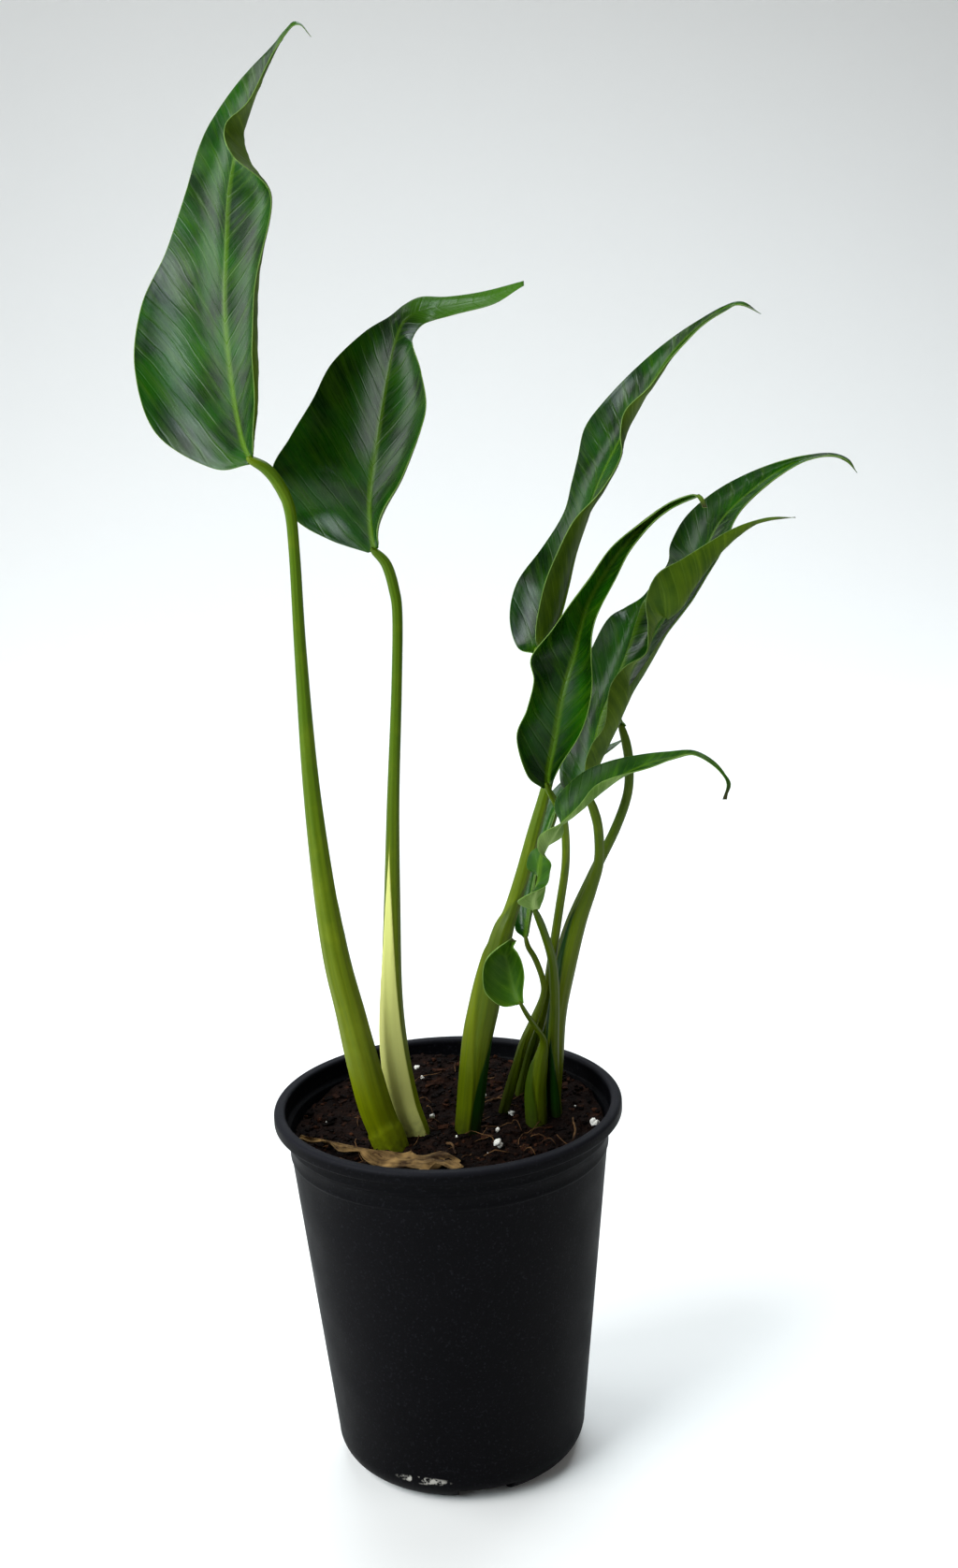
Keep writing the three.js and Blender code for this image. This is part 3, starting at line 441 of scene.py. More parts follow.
def node(tree, kind, inputs=None, ramp=None, **facts):
    """Adds a node with its facts, its inputs (a socket is linked, a value is set) and its
    colour stops, and returns its outputs."""
    made = tree.nodes.new("ShaderNode" + kind)
    for key, value in facts.items():
        setattr(made, key, value)
    for key, value in (inputs or {}).items():
        if isinstance(value, bpy.types.NodeSocket):
            tree.links.new(value, made.inputs[key])
        else:
            made.inputs[key].default_value = value
    if ramp:
        stops = made.color_ramp.elements
        while len(stops) < len(ramp):
            stops.new(0.5)
        for stop, (place, colour) in zip(stops, ramp):
            stop.position = place
            stop.color = colour
    return made.outputs


def fresh(name):
    """An empty material with its tree and the object's own coordinates."""
    material = bpy.data.materials.new(name)
    material.use_nodes = True
    tree = material.node_tree
    tree.nodes.clear()
    return material, tree, node(tree, "TexCoord")["Object"]


def tinted(tree, ground, tints):
    """Lays tints over a ground colour in turn. Each row: what the tint follows, the values of
    that where the tint starts and where it is full, how strong it is then, and its colour."""
    for follows, start, full, strength, colour in tints:
        reach = {"Value": follows, "From Min": start, "From Max": full, "To Max": strength}
        share = node(tree, "MapRange", reach)[0]
        # a colour Mix takes its share at 0 and its colours at 6 and 7, and gives the mix at 2
        ground = node(tree, "Mix", {0: share, 6: ground, 7: colour}, data_type="RGBA")[2]
    return ground


def fading_shine(tree, start, end, most, least):
    """Shine that is at its most where a surface faces the eye and dull toward its outline."""
    facing = node(tree, "LayerWeight", {"Blend": 0.5})["Facing"]
    reach = {"Value": facing, "From Min": start, "From Max": end, "To Min": most, "To Max": least}
    return node(tree, "MapRange", reach)[0]


def surfaced(material, inputs, relief=None):
    """Ends a material with its shader and with its relief's (height, strength, depth)."""
    tree = material.node_tree
    if relief:
        height, strength, depth = relief
        bump = {"Height": height, "Strength": strength, "Distance": depth}
        inputs = {**inputs, "Normal": node(tree, "Bump", bump)[0]}
    node(tree, "OutputMaterial", {"Surface": node(tree, "BsdfPrincipled", inputs)[0]})
    return material


# ---------- leaf ----------
def leaf_material(name, base, deep, warm, rib, vein_gap, vein_lift, rough, shine):
    """A living leaf blade: a thin wax over soft tissue. It gives the eye broad soft streaks of
    shine that the sunk side veins break up, and a blotchy green from near black to olive."""
    material, tree, place = fresh(name)
    split = node(tree, "SeparateXYZ", {0: node(tree, "UVMap", uv_map="leaf_map")[0]})
    side = node(tree, "Math", {0: split[0]}, operation="ABSOLUTE")[0]
    slant = node(tree, "Math", {0: side, 1: -1.1, 2: split[1]}, operation="MULTIPLY_ADD")[0]
    # side veins a few millimetres apart, drawn a little broad so that they show
    wobble = node(tree, "TexNoise", {"Vector": place, "Scale": per_metre(33.3), "Detail": 2})[0]
    pitch = vein_gap / ACROSS_MAP
    bent = node(tree, "Math", {0: slant, 1: 1 / pitch, 2: wobble}, operation="MULTIPLY_ADD")[0]
    near = node(tree, "Math", {0: bent, 1: 0.5}, operation="PINGPONG")[0]
    vein = node(
        tree, "MapRange", {"Value": near, "From Max": 0.09, "To Min": 1, "To Max": 0},
        interpolation_type="SMOOTHSTEP",
    )[0]
    # streaks 4 mm wide and fibres 1 mm wide, both along the side veins
    course = node(tree, "CombineXYZ", {0: slant, 1: side})[0]
    grains = []
    for width, length, detail in ((4.17, 20, 3), (1.11, 7.7, 4)):
        drawn = node(tree, "Mapping", {"Vector": course, "Scale": drawn_out(width, length)})[0]
        grains.append(node(tree, "TexNoise", {"Vector": drawn, "Scale": 1, "Detail": detail})[0])
    streak, fibre = grains
    # blotches 20 mm wide, and a pebbled skin drawn near 1 mm, coarser than real, so that it shows
    patch = node(tree, "TexNoise", {"Vector": place, "Scale": per_metre(20), "Detail": 4})[0]
    pebble = node(tree, "TexNoise", {"Vector": place, "Scale": per_metre(0.91), "Detail": 2})[0]
    ground = tinted(tree, deep, [
        (patch, 0.38, 0.62, 1, base),
        (streak, 0.45, 0.75, 0.7, warm),
        (fibre, 0.5, 0.75, 0.45, deep),
        (vein, 0, 1, vein_lift, rib),
        (node(tree, "Attribute", attribute_name="rib")["Fac"], 0, 1, 1, rib),
        # past its given share of the length the blade is a lighter green, and the drip tip dries
        # to a grey brown
        (node(tree, "Attribute", attribute_name="fresh")["Fac"], 0, 1, 1, linear("#396410")),
        (node(tree, "Attribute", attribute_name="tip")["Fac"], 0, 1, 1, linear("#33321c")),
    ])
    gloss = {"From Min": 0.3, "From Max": 0.7, "To Min": rough - 0.05, "To Max": rough + 0.09}
    gloss = node(tree, "MapRange", {"Value": fibre, **gloss})[0]
    rise = streak
    for layer, lift in ((vein, -0.5), (fibre, 0.4), (pebble, 0.14)):
        rise = node(tree, "Math", {0: layer, 1: lift, 2: rise}, operation="MULTIPLY_ADD")[0]
    wax = fading_shine(tree, 0.35, 0.85, shine, shine * 0.12)
    inputs = {"Base Color": ground, "Roughness": gloss, "Specular IOR Level": wax, "IOR": 1.46}
    return surfaced(material, inputs, (rise, 0.5, 0.26 * MM))


def margin_material(name, colour):
    """The thin pale edge of a leaf: hardened, slightly clear tissue, which gives the eye a light
    line along the outline."""
    material, tree, place = fresh(name)
    patch = node(tree, "TexNoise", {"Vector": place, "Scale": per_metre(6.25), "Detail": 3})[0]
    ground = tinted(tree, linear("#37560f"), [(patch, 0, 1, 1, colour)])
    return surfaced(material, {"Base Color": ground, "Roughness": 0.45, "Specular IOR Level": 0.15})


def half_point(rib, edge, along, side, bow, share):
    """A point between the midrib and an edge, on a curve bowed toward the underside."""
    reach = edge - rib
    up = along.cross(reach) * side
    up.normalize()
    control = rib + reach / 2 - up * (2 * reach.length * bow)
    return rib * (1 - share) ** 2 + control * (2 * share * (1 - share)) + edge * share**2


def blade_table(rows, along, across):
    """The middle surface of a blade as rows of (point, midrib distance, length, side share)."""
    flat = []
    for rib, left, right, bow_left, bow_right in rows:
        flat.append([*rib, *left, *right, bow_left, bow_right])
    places = [smooth(flat, i / along) for i in range(along + 1)]
    table = []
    length = 0
    for i, place in enumerate(places):
        rib = Vector(place[:3])
        ahead = Vector(places[min(i + 1, along)][:3])
        behind = Vector(places[max(i - 1, 0)][:3])
        course = (ahead - behind).normalized()
        if i:
            length += (rib - behind).length if i == along else (ahead - behind).length / 2
        row = []
        for j in range(across + 1):
            part = 2 * j / across - 1
            share = (1 - math.cos(math.pi * abs(part))) / 2
            edge = Vector(place[3:6]) if part < 0 else Vector(place[6:9])
            side = 1 if part < 0 else -1
            bow = place[9] if part < 0 else place[10]
            point = half_point(rib, edge, course, side, bow, share)
            width = (edge - rib).length
            row.append((point, width * share * -side, length, share))
        table.append(row)
    return table


def add_blade(bm, rows, along, across, thickness, relief, lighter_from=1):
    """Adds a leaf blade: an upper and a lower grid, shaped by code, and the rim between them.
    relief(t, distance, length, share, layer) gives how far a point moves on both sides and on its
    own side only, and the leaf is a lighter green past the share of its length given last.
    Face material 0 is the upper side, 1 the underside and 2 the margin."""
    table = blade_table(rows, along, across)
    leaf_map = bm.loops.layers.uv.new("leaf_map")
    rib_layer = bm.verts.layers.float.new("rib")
    tip_layer = bm.verts.layers.float.new("tip")
    lighter_layer = bm.verts.layers.float.new("fresh")

    def up_at(i, j):
        behind = table[max(i - 1, 0)][j][0]
        ahead = table[min(i + 1, along)][j][0]
        left = table[i][max(j - 1, 0)][0]
        right = table[i][min(j + 1, across)][0]
        return (right - left).cross(ahead - behind).normalized()

    ups = [[up_at(i, j) for j in range(across + 1)] for i in range(along + 1)]
    rim = []
    for layer, sign in ((0, 1), (1, -1)):
        grid = bmesh.ops.create_grid(bm, x_segments=across, y_segments=along, size=0.5)["verts"]
        key = {v: (round((v.co.y + 0.5) * along), round((v.co.x + 0.5) * across)) for v in grid}
        faces = {face for v in grid for face in v.link_faces}
        for face in faces:
            columns = [key[v][1] for v in face.verts]
            at_edge = min(columns) < 1 or max(columns) > across - 1
            before_tip = key[face.verts[0]][0] < MARGIN_END * along
            face.material_index = 2 if at_edge and before_tip else layer
            for loop in face.loops:
                cell = table[key[loop.vert][0]][key[loop.vert][1]]
                loop[leaf_map].uv = (cell[1] / ACROSS_MAP, cell[2] / ACROSS_MAP)
        for v in grid:
            i, j = key[v]
            point, distance, length, share = table[i][j]
            t = i / along
            # thinner at the margin and toward the tip
            thin = (0.55 if share > 0.97 else 1) * (0.35 + 0.65 * ease(1 - t, 0, 0.12))
            # the midrib's light band narrows and fades toward the tip
            band = (2.4 - 1.7 * t) * MM
            v[rib_layer] = (1 - ease(abs(distance), 0.25 * band, band)) * (0.9 - 0.6 * t)
            v[tip_layer] = ease(t, 0.93, 1) if lighter_from == 1 else 0
            v[lighter_layer] = ease(t, lighter_from, lighter_from + 0.12) if lighter_from < 1 else 0
            shift, lift = relief(t, distance, length, share, layer)
            v.co = point + ups[i][j] * (sign * thickness * thin / 2 + shift + sign * lift)
        if layer:
            bmesh.ops.reverse_faces(bm, faces=list(faces))
        edges = {edge for face in faces for edge in face.edges}
        rim.extend(edge for edge in edges if edge.is_boundary)
    for face in bmesh.ops.bridge_loops(bm, edges=rim)["faces"]:
        face.material_index = 2
        face.smooth = True


def blade_relief(vein_gap, wave, quilt):
    """Returns the rise and fall of a blade: grooved midrib, sunk side veins and a waving margin."""

    def relief(t, distance, length, share, layer):
        d = abs(distance)
        fade = ease(t, 0, 0.04) * ease(1 - t, 0, 0.08)
        side = 1 if distance > 0 else -1
        # the side veins leave the midrib at a slant and bend over toward the tip
        drift = 0.35 * math.sin(length / VEIN_DRIFT + side)
        phase = (length - 1.15 * d + 6 * d * d) / (vein_gap * MM) + drift
        vein = 1 - 2 * abs(math.sin(math.pi * phase)) ** 0.6
        vein *= ease(share, 0.06, 0.3) * ease(1 - share, 0.02, 0.3)
        swing = math.sin(length / LONG_WAVE + side * 0.9)
        swing += 0.5 * math.sin(length / SHORT_WAVE - side)
        shift = swing * wave * MM * share**3 * 0.6 - vein * quilt * MM
        if layer == 0:
            return shift * fade, -GROOVE_DEPTH * math.exp(-((d / GROOVE_WIDTH) ** 2)) * fade
        rib = (KEEL_HEIGHT - 1.1 * MM * t) * math.exp(-((d / KEEL_WIDTH) ** 2))
        return shift * fade, rib * fade

    return relief


# ---------- stalk ----------
def stalk_rows(name):
    """The stalk's rows in metres, from its buried foot to just inside the blade."""
    rows = [[*planted(row), row[3] * MM] for row in STALK_GUIDES[name]]
    first, second = rows[:2]
    # the buried foot goes on down the way that the stalk leans
    lean = 7 * MM / (second[2] - first[2])
    foot = [value - (after - value) * lean for value, after in zip(first, second)]
    foot[2] = first[2] - BURIED
    foot[3] = first[3] * 0.95
    # the top narrows to a point just inside the midrib
    start, ahead = (planted(row[0]) for row in BLADE_GUIDES[name][:2])
    inside = start + (ahead - start).normalized() * 1.4 * MM
    last = rows[-1][3]
    return [foot, *rows, [*start, last * 0.72], [*inside, last * 0.3]]


def tube(bm, places, sides, shape, map_name=None):
    """Wraps a grid round a course of (x, y, z, radius). shape(i, angle) gives the radius to add
    and how pale the skin is there (below 0: painted shade), and both ends are closed."""
    if map_name:
        layer = bm.loops.layers.uv.get(map_name) or bm.loops.layers.uv.new(map_name)
        paleness_and_shade_layer = bm.verts.layers.float.get("pale") or bm.verts.layers.float.new("pale")
    along = len(places) - 1
    grid = bmesh.ops.create_grid(bm, x_segments=sides, y_segments=along, size=0.5)["verts"]
    key = {v: (round((v.co.y + 0.5) * along), round((v.co.x + 0.5) * sides)) for v in grid}
    faces = {face for v in grid for face in v.link_faces}
    frames = []
    across = Vector((1, 0, 0))
    length = 0
    for i, place in enumerate(places):
        here = Vector(place[:3])
        ahead = Vector(places[min(i + 1, along)][:3])
        behind = Vector(places[max(i - 1, 0)][:3])
        course = (ahead - behind).normalized()
        across = (across - course * across.dot(course)).normalized()
        length += (here - behind).length if i else 0
        frames.append((here, across.copy(), course.cross(across), place[3], length))
    if map_name:
        for face in faces:
            for loop in face.loops:
                i, j = key[loop.vert]
                loop[layer].uv = (j / sides, frames[i][4] / ACROSS_MAP)
    for v in grid:
        i, j = key[v]
        here, out, other, radius, _ = frames[i]
        angle = FULL_TURN * j / sides
        extra, pale = shape(i, angle)
        v.co = here + (out * math.cos(angle) + other * math.sin(angle)) * (radius + extra)
        if map_name:
            v[paleness_and_shade_layer] = pale
    bmesh.ops.remove_doubles(bm, verts=grid, dist=0.002 * MM)
    ends = [e for v in grid if v.is_valid for e in v.link_edges if e.is_boundary]
    bmesh.ops.holes_fill(bm, edges=list(set(ends)), sides=sides + 2)


def spread_of(angle, facing):
    """How far an angle is from the way a sheath faces, in degrees."""
    return abs((math.degrees(angle) - facing + 180) % 360 - 180)


def stalk_shape(name, places):
    """Returns the ribs, channel and leaf-base wraps of a stalk as added radius and paleness, where
    a negative paleness is painted shade.
    """
    sheaths_and_shade = SHEATHS_AND_SHADE[name]

    def shape(i, angle):
        _, _, z, radius = places[i]
        height = (z - COMPOST_LEVEL) / MM
        extra = 0.022 * radius * math.cos(9 * angle + height * 0.02)
        extra += 0.03 * radius * math.cos(2 * angle + 1.1 + height * 0.01)
        pale = 0
        # a negative tint paints shade: darker toward the stalk's foot, or on a leaf-base wing
        for top, facing, half, thick, tint, fade in sheaths_and_shade:
            left = ease(top - height, 0, top * 0.85) ** 0.6 if height < top else 0
            away = spread_of(angle, facing)
            inside = ease(half * left - away, -1, 7) if left else 0
            extra += thick * MM * inside
            soft = ease(half * left - away, -4, 8) if left else 0
            weaker = ease(height, fade * 0.4, fade) if fade else 1
            pale += tint * soft * weaker
        return extra, pale

    return shape


def stalk_material(name, low, high, pale):
    """A fleshy leaf stalk: firm, juicy tissue under a thin wax, with long fibres. It gives the
    eye soft streaks along it, a narrow long highlight and soil on its foot."""
    material, tree, place = fresh(name)
    # 27 fibres round the stalk, each 37 mm long, patches 17 mm wide, and a pebbled skin drawn at
    # 1 mm, coarser than real, so that it shows
    fibres = (27, ACROSS_MAP / (37 * MM), 1)
    stalk_map = node(tree, "UVMap", uv_map="stalk_map")[0]
    long = node(tree, "Mapping", {"Vector": stalk_map, "Scale": fibres})[0]
    fibre = node(tree, "TexNoise", {"Vector": long, "Scale": 1, "Detail": 5})[0]
    patch = node(tree, "TexNoise", {"Vector": place, "Scale": per_metre(16.7), "Detail": 4})[0]
    pebble = node(tree, "TexNoise", {"Vector": place, "Scale": per_metre(1.11), "Detail": 2})[0]
    grit = node(tree, "TexNoise", {"Vector": place, "Scale": per_metre(2.38), "Detail": 4})[0]
    height = node(tree, "SeparateXYZ", {0: place})[2]
    # soil splashed on the lowest centimetre
    soil = node(tree, "MapRange", {
        "Value": height, "From Min": COMPOST_LEVEL + 1 * MM, "From Max": COMPOST_LEVEL + 14 * MM,
        "To Min": 0.9, "To Max": 0,
    })[0]
    dirty = node(tree, "Math", {0: soil, 1: grit}, operation="MULTIPLY")[0]
    # a half-pale leaf base is yellow green, only a fully pale one is cream, and a negative
    # paleness is painted shade, darkening the stalk toward its foot and on shaded leaf-base wings
    paleness_and_shade = node(tree, "Attribute", attribute_name="pale")["Fac"]
    skin = tinted(tree, linear("#808c0c"), [(paleness_and_shade, 0.45, 0.9, 1, pale)])
    ground = tinted(tree, low, [
        (height, COMPOST_LEVEL + 20 * MM, COMPOST_LEVEL + 200 * MM, 1, high),
        (fibre, 0.42, 0.75, 0.4, linear("#2a4a00")),
        (patch, 0.5, 0.7, 0.4, linear("#6f7d0c")),
        (paleness_and_shade, 0, 1, 1, skin),
        # painted shade from a negative paleness
        (paleness_and_shade, 0, -1, 1, linear("#0f2f03")),
        (dirty, 0, 1, 1, linear("#1c120a")),
    ])
    gloss = node(tree, "MapRange", {"Value": fibre, "To Min": 0.34, "To Max": 0.5})[0]
    wax = fading_shine(tree, 0.3, 0.8, 0.14, 0.02)
    rise = node(tree, "Math", {0: pebble, 1: 0.15, 2: fibre}, operation="MULTIPLY_ADD")[0]
    inputs = {"Base Color": ground, "Roughness": gloss, "Specular IOR Level": wax}
    return surfaced(material, inputs, (rise, 0.6, 0.3 * MM))


# ---------- pot ----------
def arc(centre_r, centre_z, radius, start, end, steps):
    """Points of (radius, height) round a corner."""
    made = []
    for i in range(steps + 1):
        a = math.radians(start + (end - start) * i / steps)
        made.append((centre_r + radius * math.cos(a), centre_z + radius * math.sin(a)))
    return made


def turned(bm, profile, steps):
    """Spins a profile of (radius, height) round the upright axis into a closed skin."""
    verts = [bm.verts.new((r, 0, z)) for r, z in profile]
    edges = [bm.edges.new(pair) for pair in zip(verts, verts[1:])]
    bmesh.ops.spin(
        bm, geom=verts + edges, cent=(0, 0, 0), axis=(0, 0, 1), angle=FULL_TURN, steps=steps,
        use_merge=True,
    )
    bmesh.ops.remove_doubles(bm, verts=bm.verts, dist=0.001 * MM)
    bmesh.ops.recalc_face_normals(bm, faces=bm.faces)


def wall_radius(z):
    """The pot's outside radius at a height on its plain wall."""
    return FOOT_RADIUS + (WALL_TOP_RADIUS - FOOT_RADIUS) * z / LIP_BOTTOM


def pot_profile(wall, lip_width, band_step):
    """Half of the pot's section, from under the middle round the lip to the inside floor."""
    top = POT_HIGH.z
    corner = wall_radius(FOOT_ROUND)
    inner_round = FOOT_ROUND - 2 * MM
    lip_inside = RIM_RADIUS - lip_width
    return [
        # the underside, raised a little inside the foot's ring
        (0, 0),
        (20 * MM, 0.4 * MM),
        (40 * MM, 0.4 * MM),
        (44 * MM, 0),
        *arc(corner - FOOT_ROUND, FOOT_ROUND, FOOT_ROUND, -90, 0, 16),
        # the wall and its two raised bands
        *[(wall_radius(z * MM), z * MM) for z in (30, 50, 70, 90, 110, 130, 150)],
        (wall_radius(LOW_BAND) - 0.1 * MM, LOW_BAND - 0.8 * MM),
        *[(wall_radius(LOW_BAND) + band_step * n, LOW_BAND + z * MM) for n, z in LOW_BAND_EDGE],
        (wall_radius(LOW_BAND) + band_step * 0.9, HIGH_BAND - 1 * MM),
        *[(wall_radius(HIGH_BAND) + band_step * n, HIGH_BAND + z * MM) for n, z in HIGH_BAND_EDGE],
        (WALL_TOP_RADIUS + band_step * 1.6, LIP_BOTTOM - 0.5 * MM),
        (WALL_TOP_RADIUS + band_step * 2.4, LIP_BOTTOM),
        # the lip, rounded on both sides, and the ledge under it
        *arc(RIM_RADIUS - 1 * MM, LIP_BOTTOM + 1 * MM, 1 * MM, -90, 0, 4),
        *arc(RIM_RADIUS - 2.2 * MM, top - 2.2 * MM, 2.2 * MM, 8, 90, 7),
        *arc(lip_inside + 1.2 * MM, top - 1.6 * MM, 1.6 * MM, 90, 180, 6),
        (lip_inside - 0.4 * MM, LEDGE + 1.6 * MM),
        (lip_inside - 0.9 * MM, LEDGE + 0.5 * MM),
        (wall_radius(LEDGE) - wall + 0.2 * MM, LEDGE),
        (wall_radius(LEDGE) - wall, LEDGE - 0.6 * MM),
        # the inside, down to the floor
        *[(wall_radius(z * MM) - wall, z * MM) for z in (150, 110, 70, 30)],
        *arc(corner - wall - inner_round, FLOOR_TOP + inner_round, inner_round, 0, -90, 12),
        (40 * MM, FLOOR_TOP),
        (0, FLOOR_TOP),
    ]


def open_drains(bm, width):
    """Cuts the drain slots: the faces in each slot go, and its two edges are bridged."""
    for degrees in DRAIN_ANGLES:
        facing = math.radians(degrees)
        low = []
        for face in bm.faces:
            centre = face.calc_center_median()
            radius = math.hypot(centre.x, centre.y)
            off = math.atan2(centre.y, centre.x) - facing
            off = abs((off + math.pi) % FULL_TURN - math.pi)
            half = width / 2 / max(radius, 50 * MM)
            if radius > DRAIN_INNER and centre.z < DRAIN_TOP and off < half:
                low.append(face)
        bmesh.ops.delete(bm, geom=low, context="FACES")
        rims = [edge for edge in bm.edges if edge.is_boundary]
        bmesh.ops.bridge_loops(bm, edges=rims)
    bmesh.ops.recalc_face_normals(bm, faces=bm.faces)


def pot_material(colour):
    """Injection-moulded black polypropylene with a fine grain: it gives the eye a near-black
    semi-matte wall with faint dust, a greyer rim top that is partly wear and partly a painted
    highlight, and white rub marks low on the front."""
    material, tree, place = fresh("Moulded polypropylene, black")
    # a moulded grain drawn near 1 mm, coarser than real, so that it shows, dust clouds 18 mm
    # wide, specks of 1 mm and flecks of 3 mm
    grain = node(tree, "TexNoise", {"Vector": place, "Scale": per_metre(0.77), "Detail": 2})[0]
    cloud = node(tree, "TexNoise", {"Vector": place, "Scale": per_metre(18.2), "Detail": 5})[0]
    speck = node(tree, "TexNoise", {"Vector": place, "Scale": per_metre(1.25), "Detail": 1})[0]
    fleck = node(tree, "TexNoise", {"Vector": place, "Scale": per_metre(2.63), "Detail": 4})[0]
    height = node(tree, "SeparateXYZ", {0: place})[2]
    # a row of rub marks 20 mm long and 3 mm high
    row = node(tree, "Mapping", {"Vector": place, "Scale": (1, 0.15, 6)})[0]
    middle = (-18 * MM, -7.8 * MM, 79 * MM)
    away = node(tree, "VectorMath", {0: row, 1: middle}, operation="DISTANCE")["Value"]
    reach = {"From Min": 8 * MM, "From Max": 14 * MM, "To Min": 1, "To Max": 0}
    near = node(tree, "MapRange", {"Value": away, **reach})[0]
    cut = node(tree, "MapRange", {"Value": fleck, "From Min": 0.47, "From Max": 0.56})[0]
    rub = node(tree, "Math", {0: near, 1: cut}, operation="MULTIPLY")[0]
    ground = tinted(tree, colour, [
        (cloud, 0.45, 0.8, 0.5, linear("#09090c")),
        (speck, 0.6, 0.72, 0.07, linear("#4a4a52")),
        # the lip's top is painted greyer: partly wear, partly a painted highlight
        (height, POT_HIGH.z - 2.5 * MM, POT_HIGH.z - 0.3 * MM, 0.5, linear("#26262b")),
        (rub, 0, 1, 1, linear("#a8a49c")),
    ])
    gloss = node(tree, "MapRange", {"Value": cloud, "To Min": 0.36, "To Max": 0.6})[0]
    skin = fading_shine(tree, 0.1, 0.8, 0.045, 0.02)
    inputs = {"Base Color": ground, "Roughness": gloss, "Specular IOR Level": skin, "IOR": 1.49}
    return surfaced(material, inputs, (grain, 0.5, 0.12 * MM))


# ---------- compost and litter ----------
def peat_material(name, dark, brown, tan, by_tone):
    """Peat and bark compost: damp crumbs and fibres. It gives the eye a dull, broken surface
    from near black to red brown, with no shine."""
    material, tree, place = fresh(name)
    # clumps 8 mm wide, crumbs of 2 mm and grit of 1 mm
    tone = node(tree, "TexNoise", {"Vector": place, "Scale": per_metre(7.69), "Detail": 6})[0]
    crumb = node(tree, "TexVoronoi", {"Vector": place, "Scale": per_metre(1.92)})["Distance"]
    grit = node(tree, "TexNoise", {"Vector": place, "Scale": per_metre(1.11), "Detail": 4})[0]
    if by_tone:
        own = node(tree, "Attribute", attribute_name="tone")["Fac"]
        tone = node(tree, "Math", {0: tone, 1: 0.35, 2: own}, operation="MULTIPLY_ADD")[0]
    ground = node(tree, "ValToRGB", {0: tone}, [(0.3, dark), (0.6, brown), (0.97, tan)])[0]
    # painted shade: where the grit is low, which the relief sinks into hollows, the peat darkens
    # toward near black
    ground = tinted(tree, ground, [(grit, 0.7, 0.3, 0.6, linear("#080403"))])
    rise = node(tree, "Math", {0: grit, 1: 1.2, 2: crumb}, operation="MULTIPLY_ADD")[0]
    inputs = {"Base Color": ground, "Roughness": 0.9, "Specular IOR Level": 0.06}
    return surfaced(material, inputs, (rise, 0.9, 0.9 * MM))


def perlite_material(colour):
    """Expanded perlite, a white volcanic glass foam: it gives the eye chalky grains with pits
    under 1 mm and soil stains over 2 mm wide."""
    material, tree, place = fresh("Expanded perlite")
    pit = node(tree, "TexVoronoi", {"Vector": place, "Scale": per_metre(0.667)})["Distance"]
    stain = node(tree, "TexNoise", {"Vector": place, "Scale": per_metre(2.38), "Detail": 4})[0]
    ground = tinted(tree, colour, [(stain, 0.5, 0.75, 0.6, linear("#8f8574"))])
    return surfaced(material, {"Base Color": ground, "Roughness": 0.85}, (pit, 0.8, 0.25 * MM))


def dead_material(name, dark, light, map_name=None):
    """Dead leaf or root: dry papery fibre, which gives the eye a matte brown with darker lines
    along it and pale worn ridges."""
    material, tree, place = fresh(name)
    # fibres 1.4 mm wide along a mapped piece, or knots of 4 mm on one without a map
    own, scale = place, (per_metre(3.85),) * 3
    if map_name:
        own, scale = node(tree, "UVMap", uv_map=map_name)[0], drawn_out(1.43, 14.3)
    long = node(tree, "Mapping", {"Vector": own, "Scale": scale})[0]
    fibre = node(tree, "TexNoise", {"Vector": long, "Scale": 1, "Detail": 5})[0]
    patch = node(tree, "TexNoise", {"Vector": place, "Scale": per_metre(8.33), "Detail": 5})[0]
    both = node(tree, "Math", {0: fibre, 1: 0.5, 2: patch}, operation="MULTIPLY_ADD")[0]
    ground = node(tree, "ValToRGB", {0: both}, [(0.6, dark), (0.95, light)])[0]
    inputs = {"Base Color": ground, "Roughness": 0.8, "Specular IOR Level": 0.1}
    return surfaced(material, inputs, (both, 0.8, 0.4 * MM))


def clear_of_stalks(x, y, size):
    """Whether a thing of that size on the compost would miss every stalk."""
    for rows in STALK_GUIDES.values():
        bx, by, _, radius = rows[0]
        if math.hypot(x - bx * MM, y - by * MM) < (radius + 0.6) * MM + size * 0.4:
            return False
    return True


def scatter(rng, reach, size):
    """A seeded place on the compost that is clear of the stalks."""
    while True:
        r = reach * math.sqrt(rng.random())
        a = rng.random() * FULL_TURN
        x, y = r * math.cos(a), r * math.sin(a)
        if clear_of_stalks(x, y, size):
            return x, y


def rough_height(x, y):
    """The compost's surface with its clumps and hollows."""
    spot = Vector((x, y, 0))
    lump = 0
    for often, height in ((120, 1.5), (330, 0.9), (800, 0.45)):
        lump += noise.noise(spot * often) * height
    return compost_height(x, y) + lump * MM


def lumpy(verts, centre, size, seed):
    """Pushes a small body's vertices in and out so that it looks broken, not moulded."""
    for v in verts:
        out = v.co - centre
        push = noise.noise(out / size * 1.7 + Vector((seed, seed * 0.37, 0)))
        v.co = centre + out * (1 + 0.55 * push)


# ---------- settings ----------
def colour_of(name, description, code):
    """A colour that the user can change."""
    return bpy.props.FloatVectorProperty(
        name=name, description=description, default=linear(code), subtype="COLOR", size=4
    )


def length_of(name, description, size, **limits):
    """A length that the user can change, given in mm."""
    return bpy.props.FloatProperty(
        name=name, description=description, default=size * MM, unit="LENGTH", **limits
    )


def count_of(name, description, number, least=0):
    """A number of things that the user can change."""
    return bpy.props.IntProperty(
        name=name, description=description, default=number, min=least
    )


def angle_of(name, description, degrees):
    """An angle that the user can change, given in degrees."""
    return bpy.props.FloatProperty(
        name=name, description=description, default=math.radians(degrees), subtype="ANGLE",
        unit="ROTATION",
    )


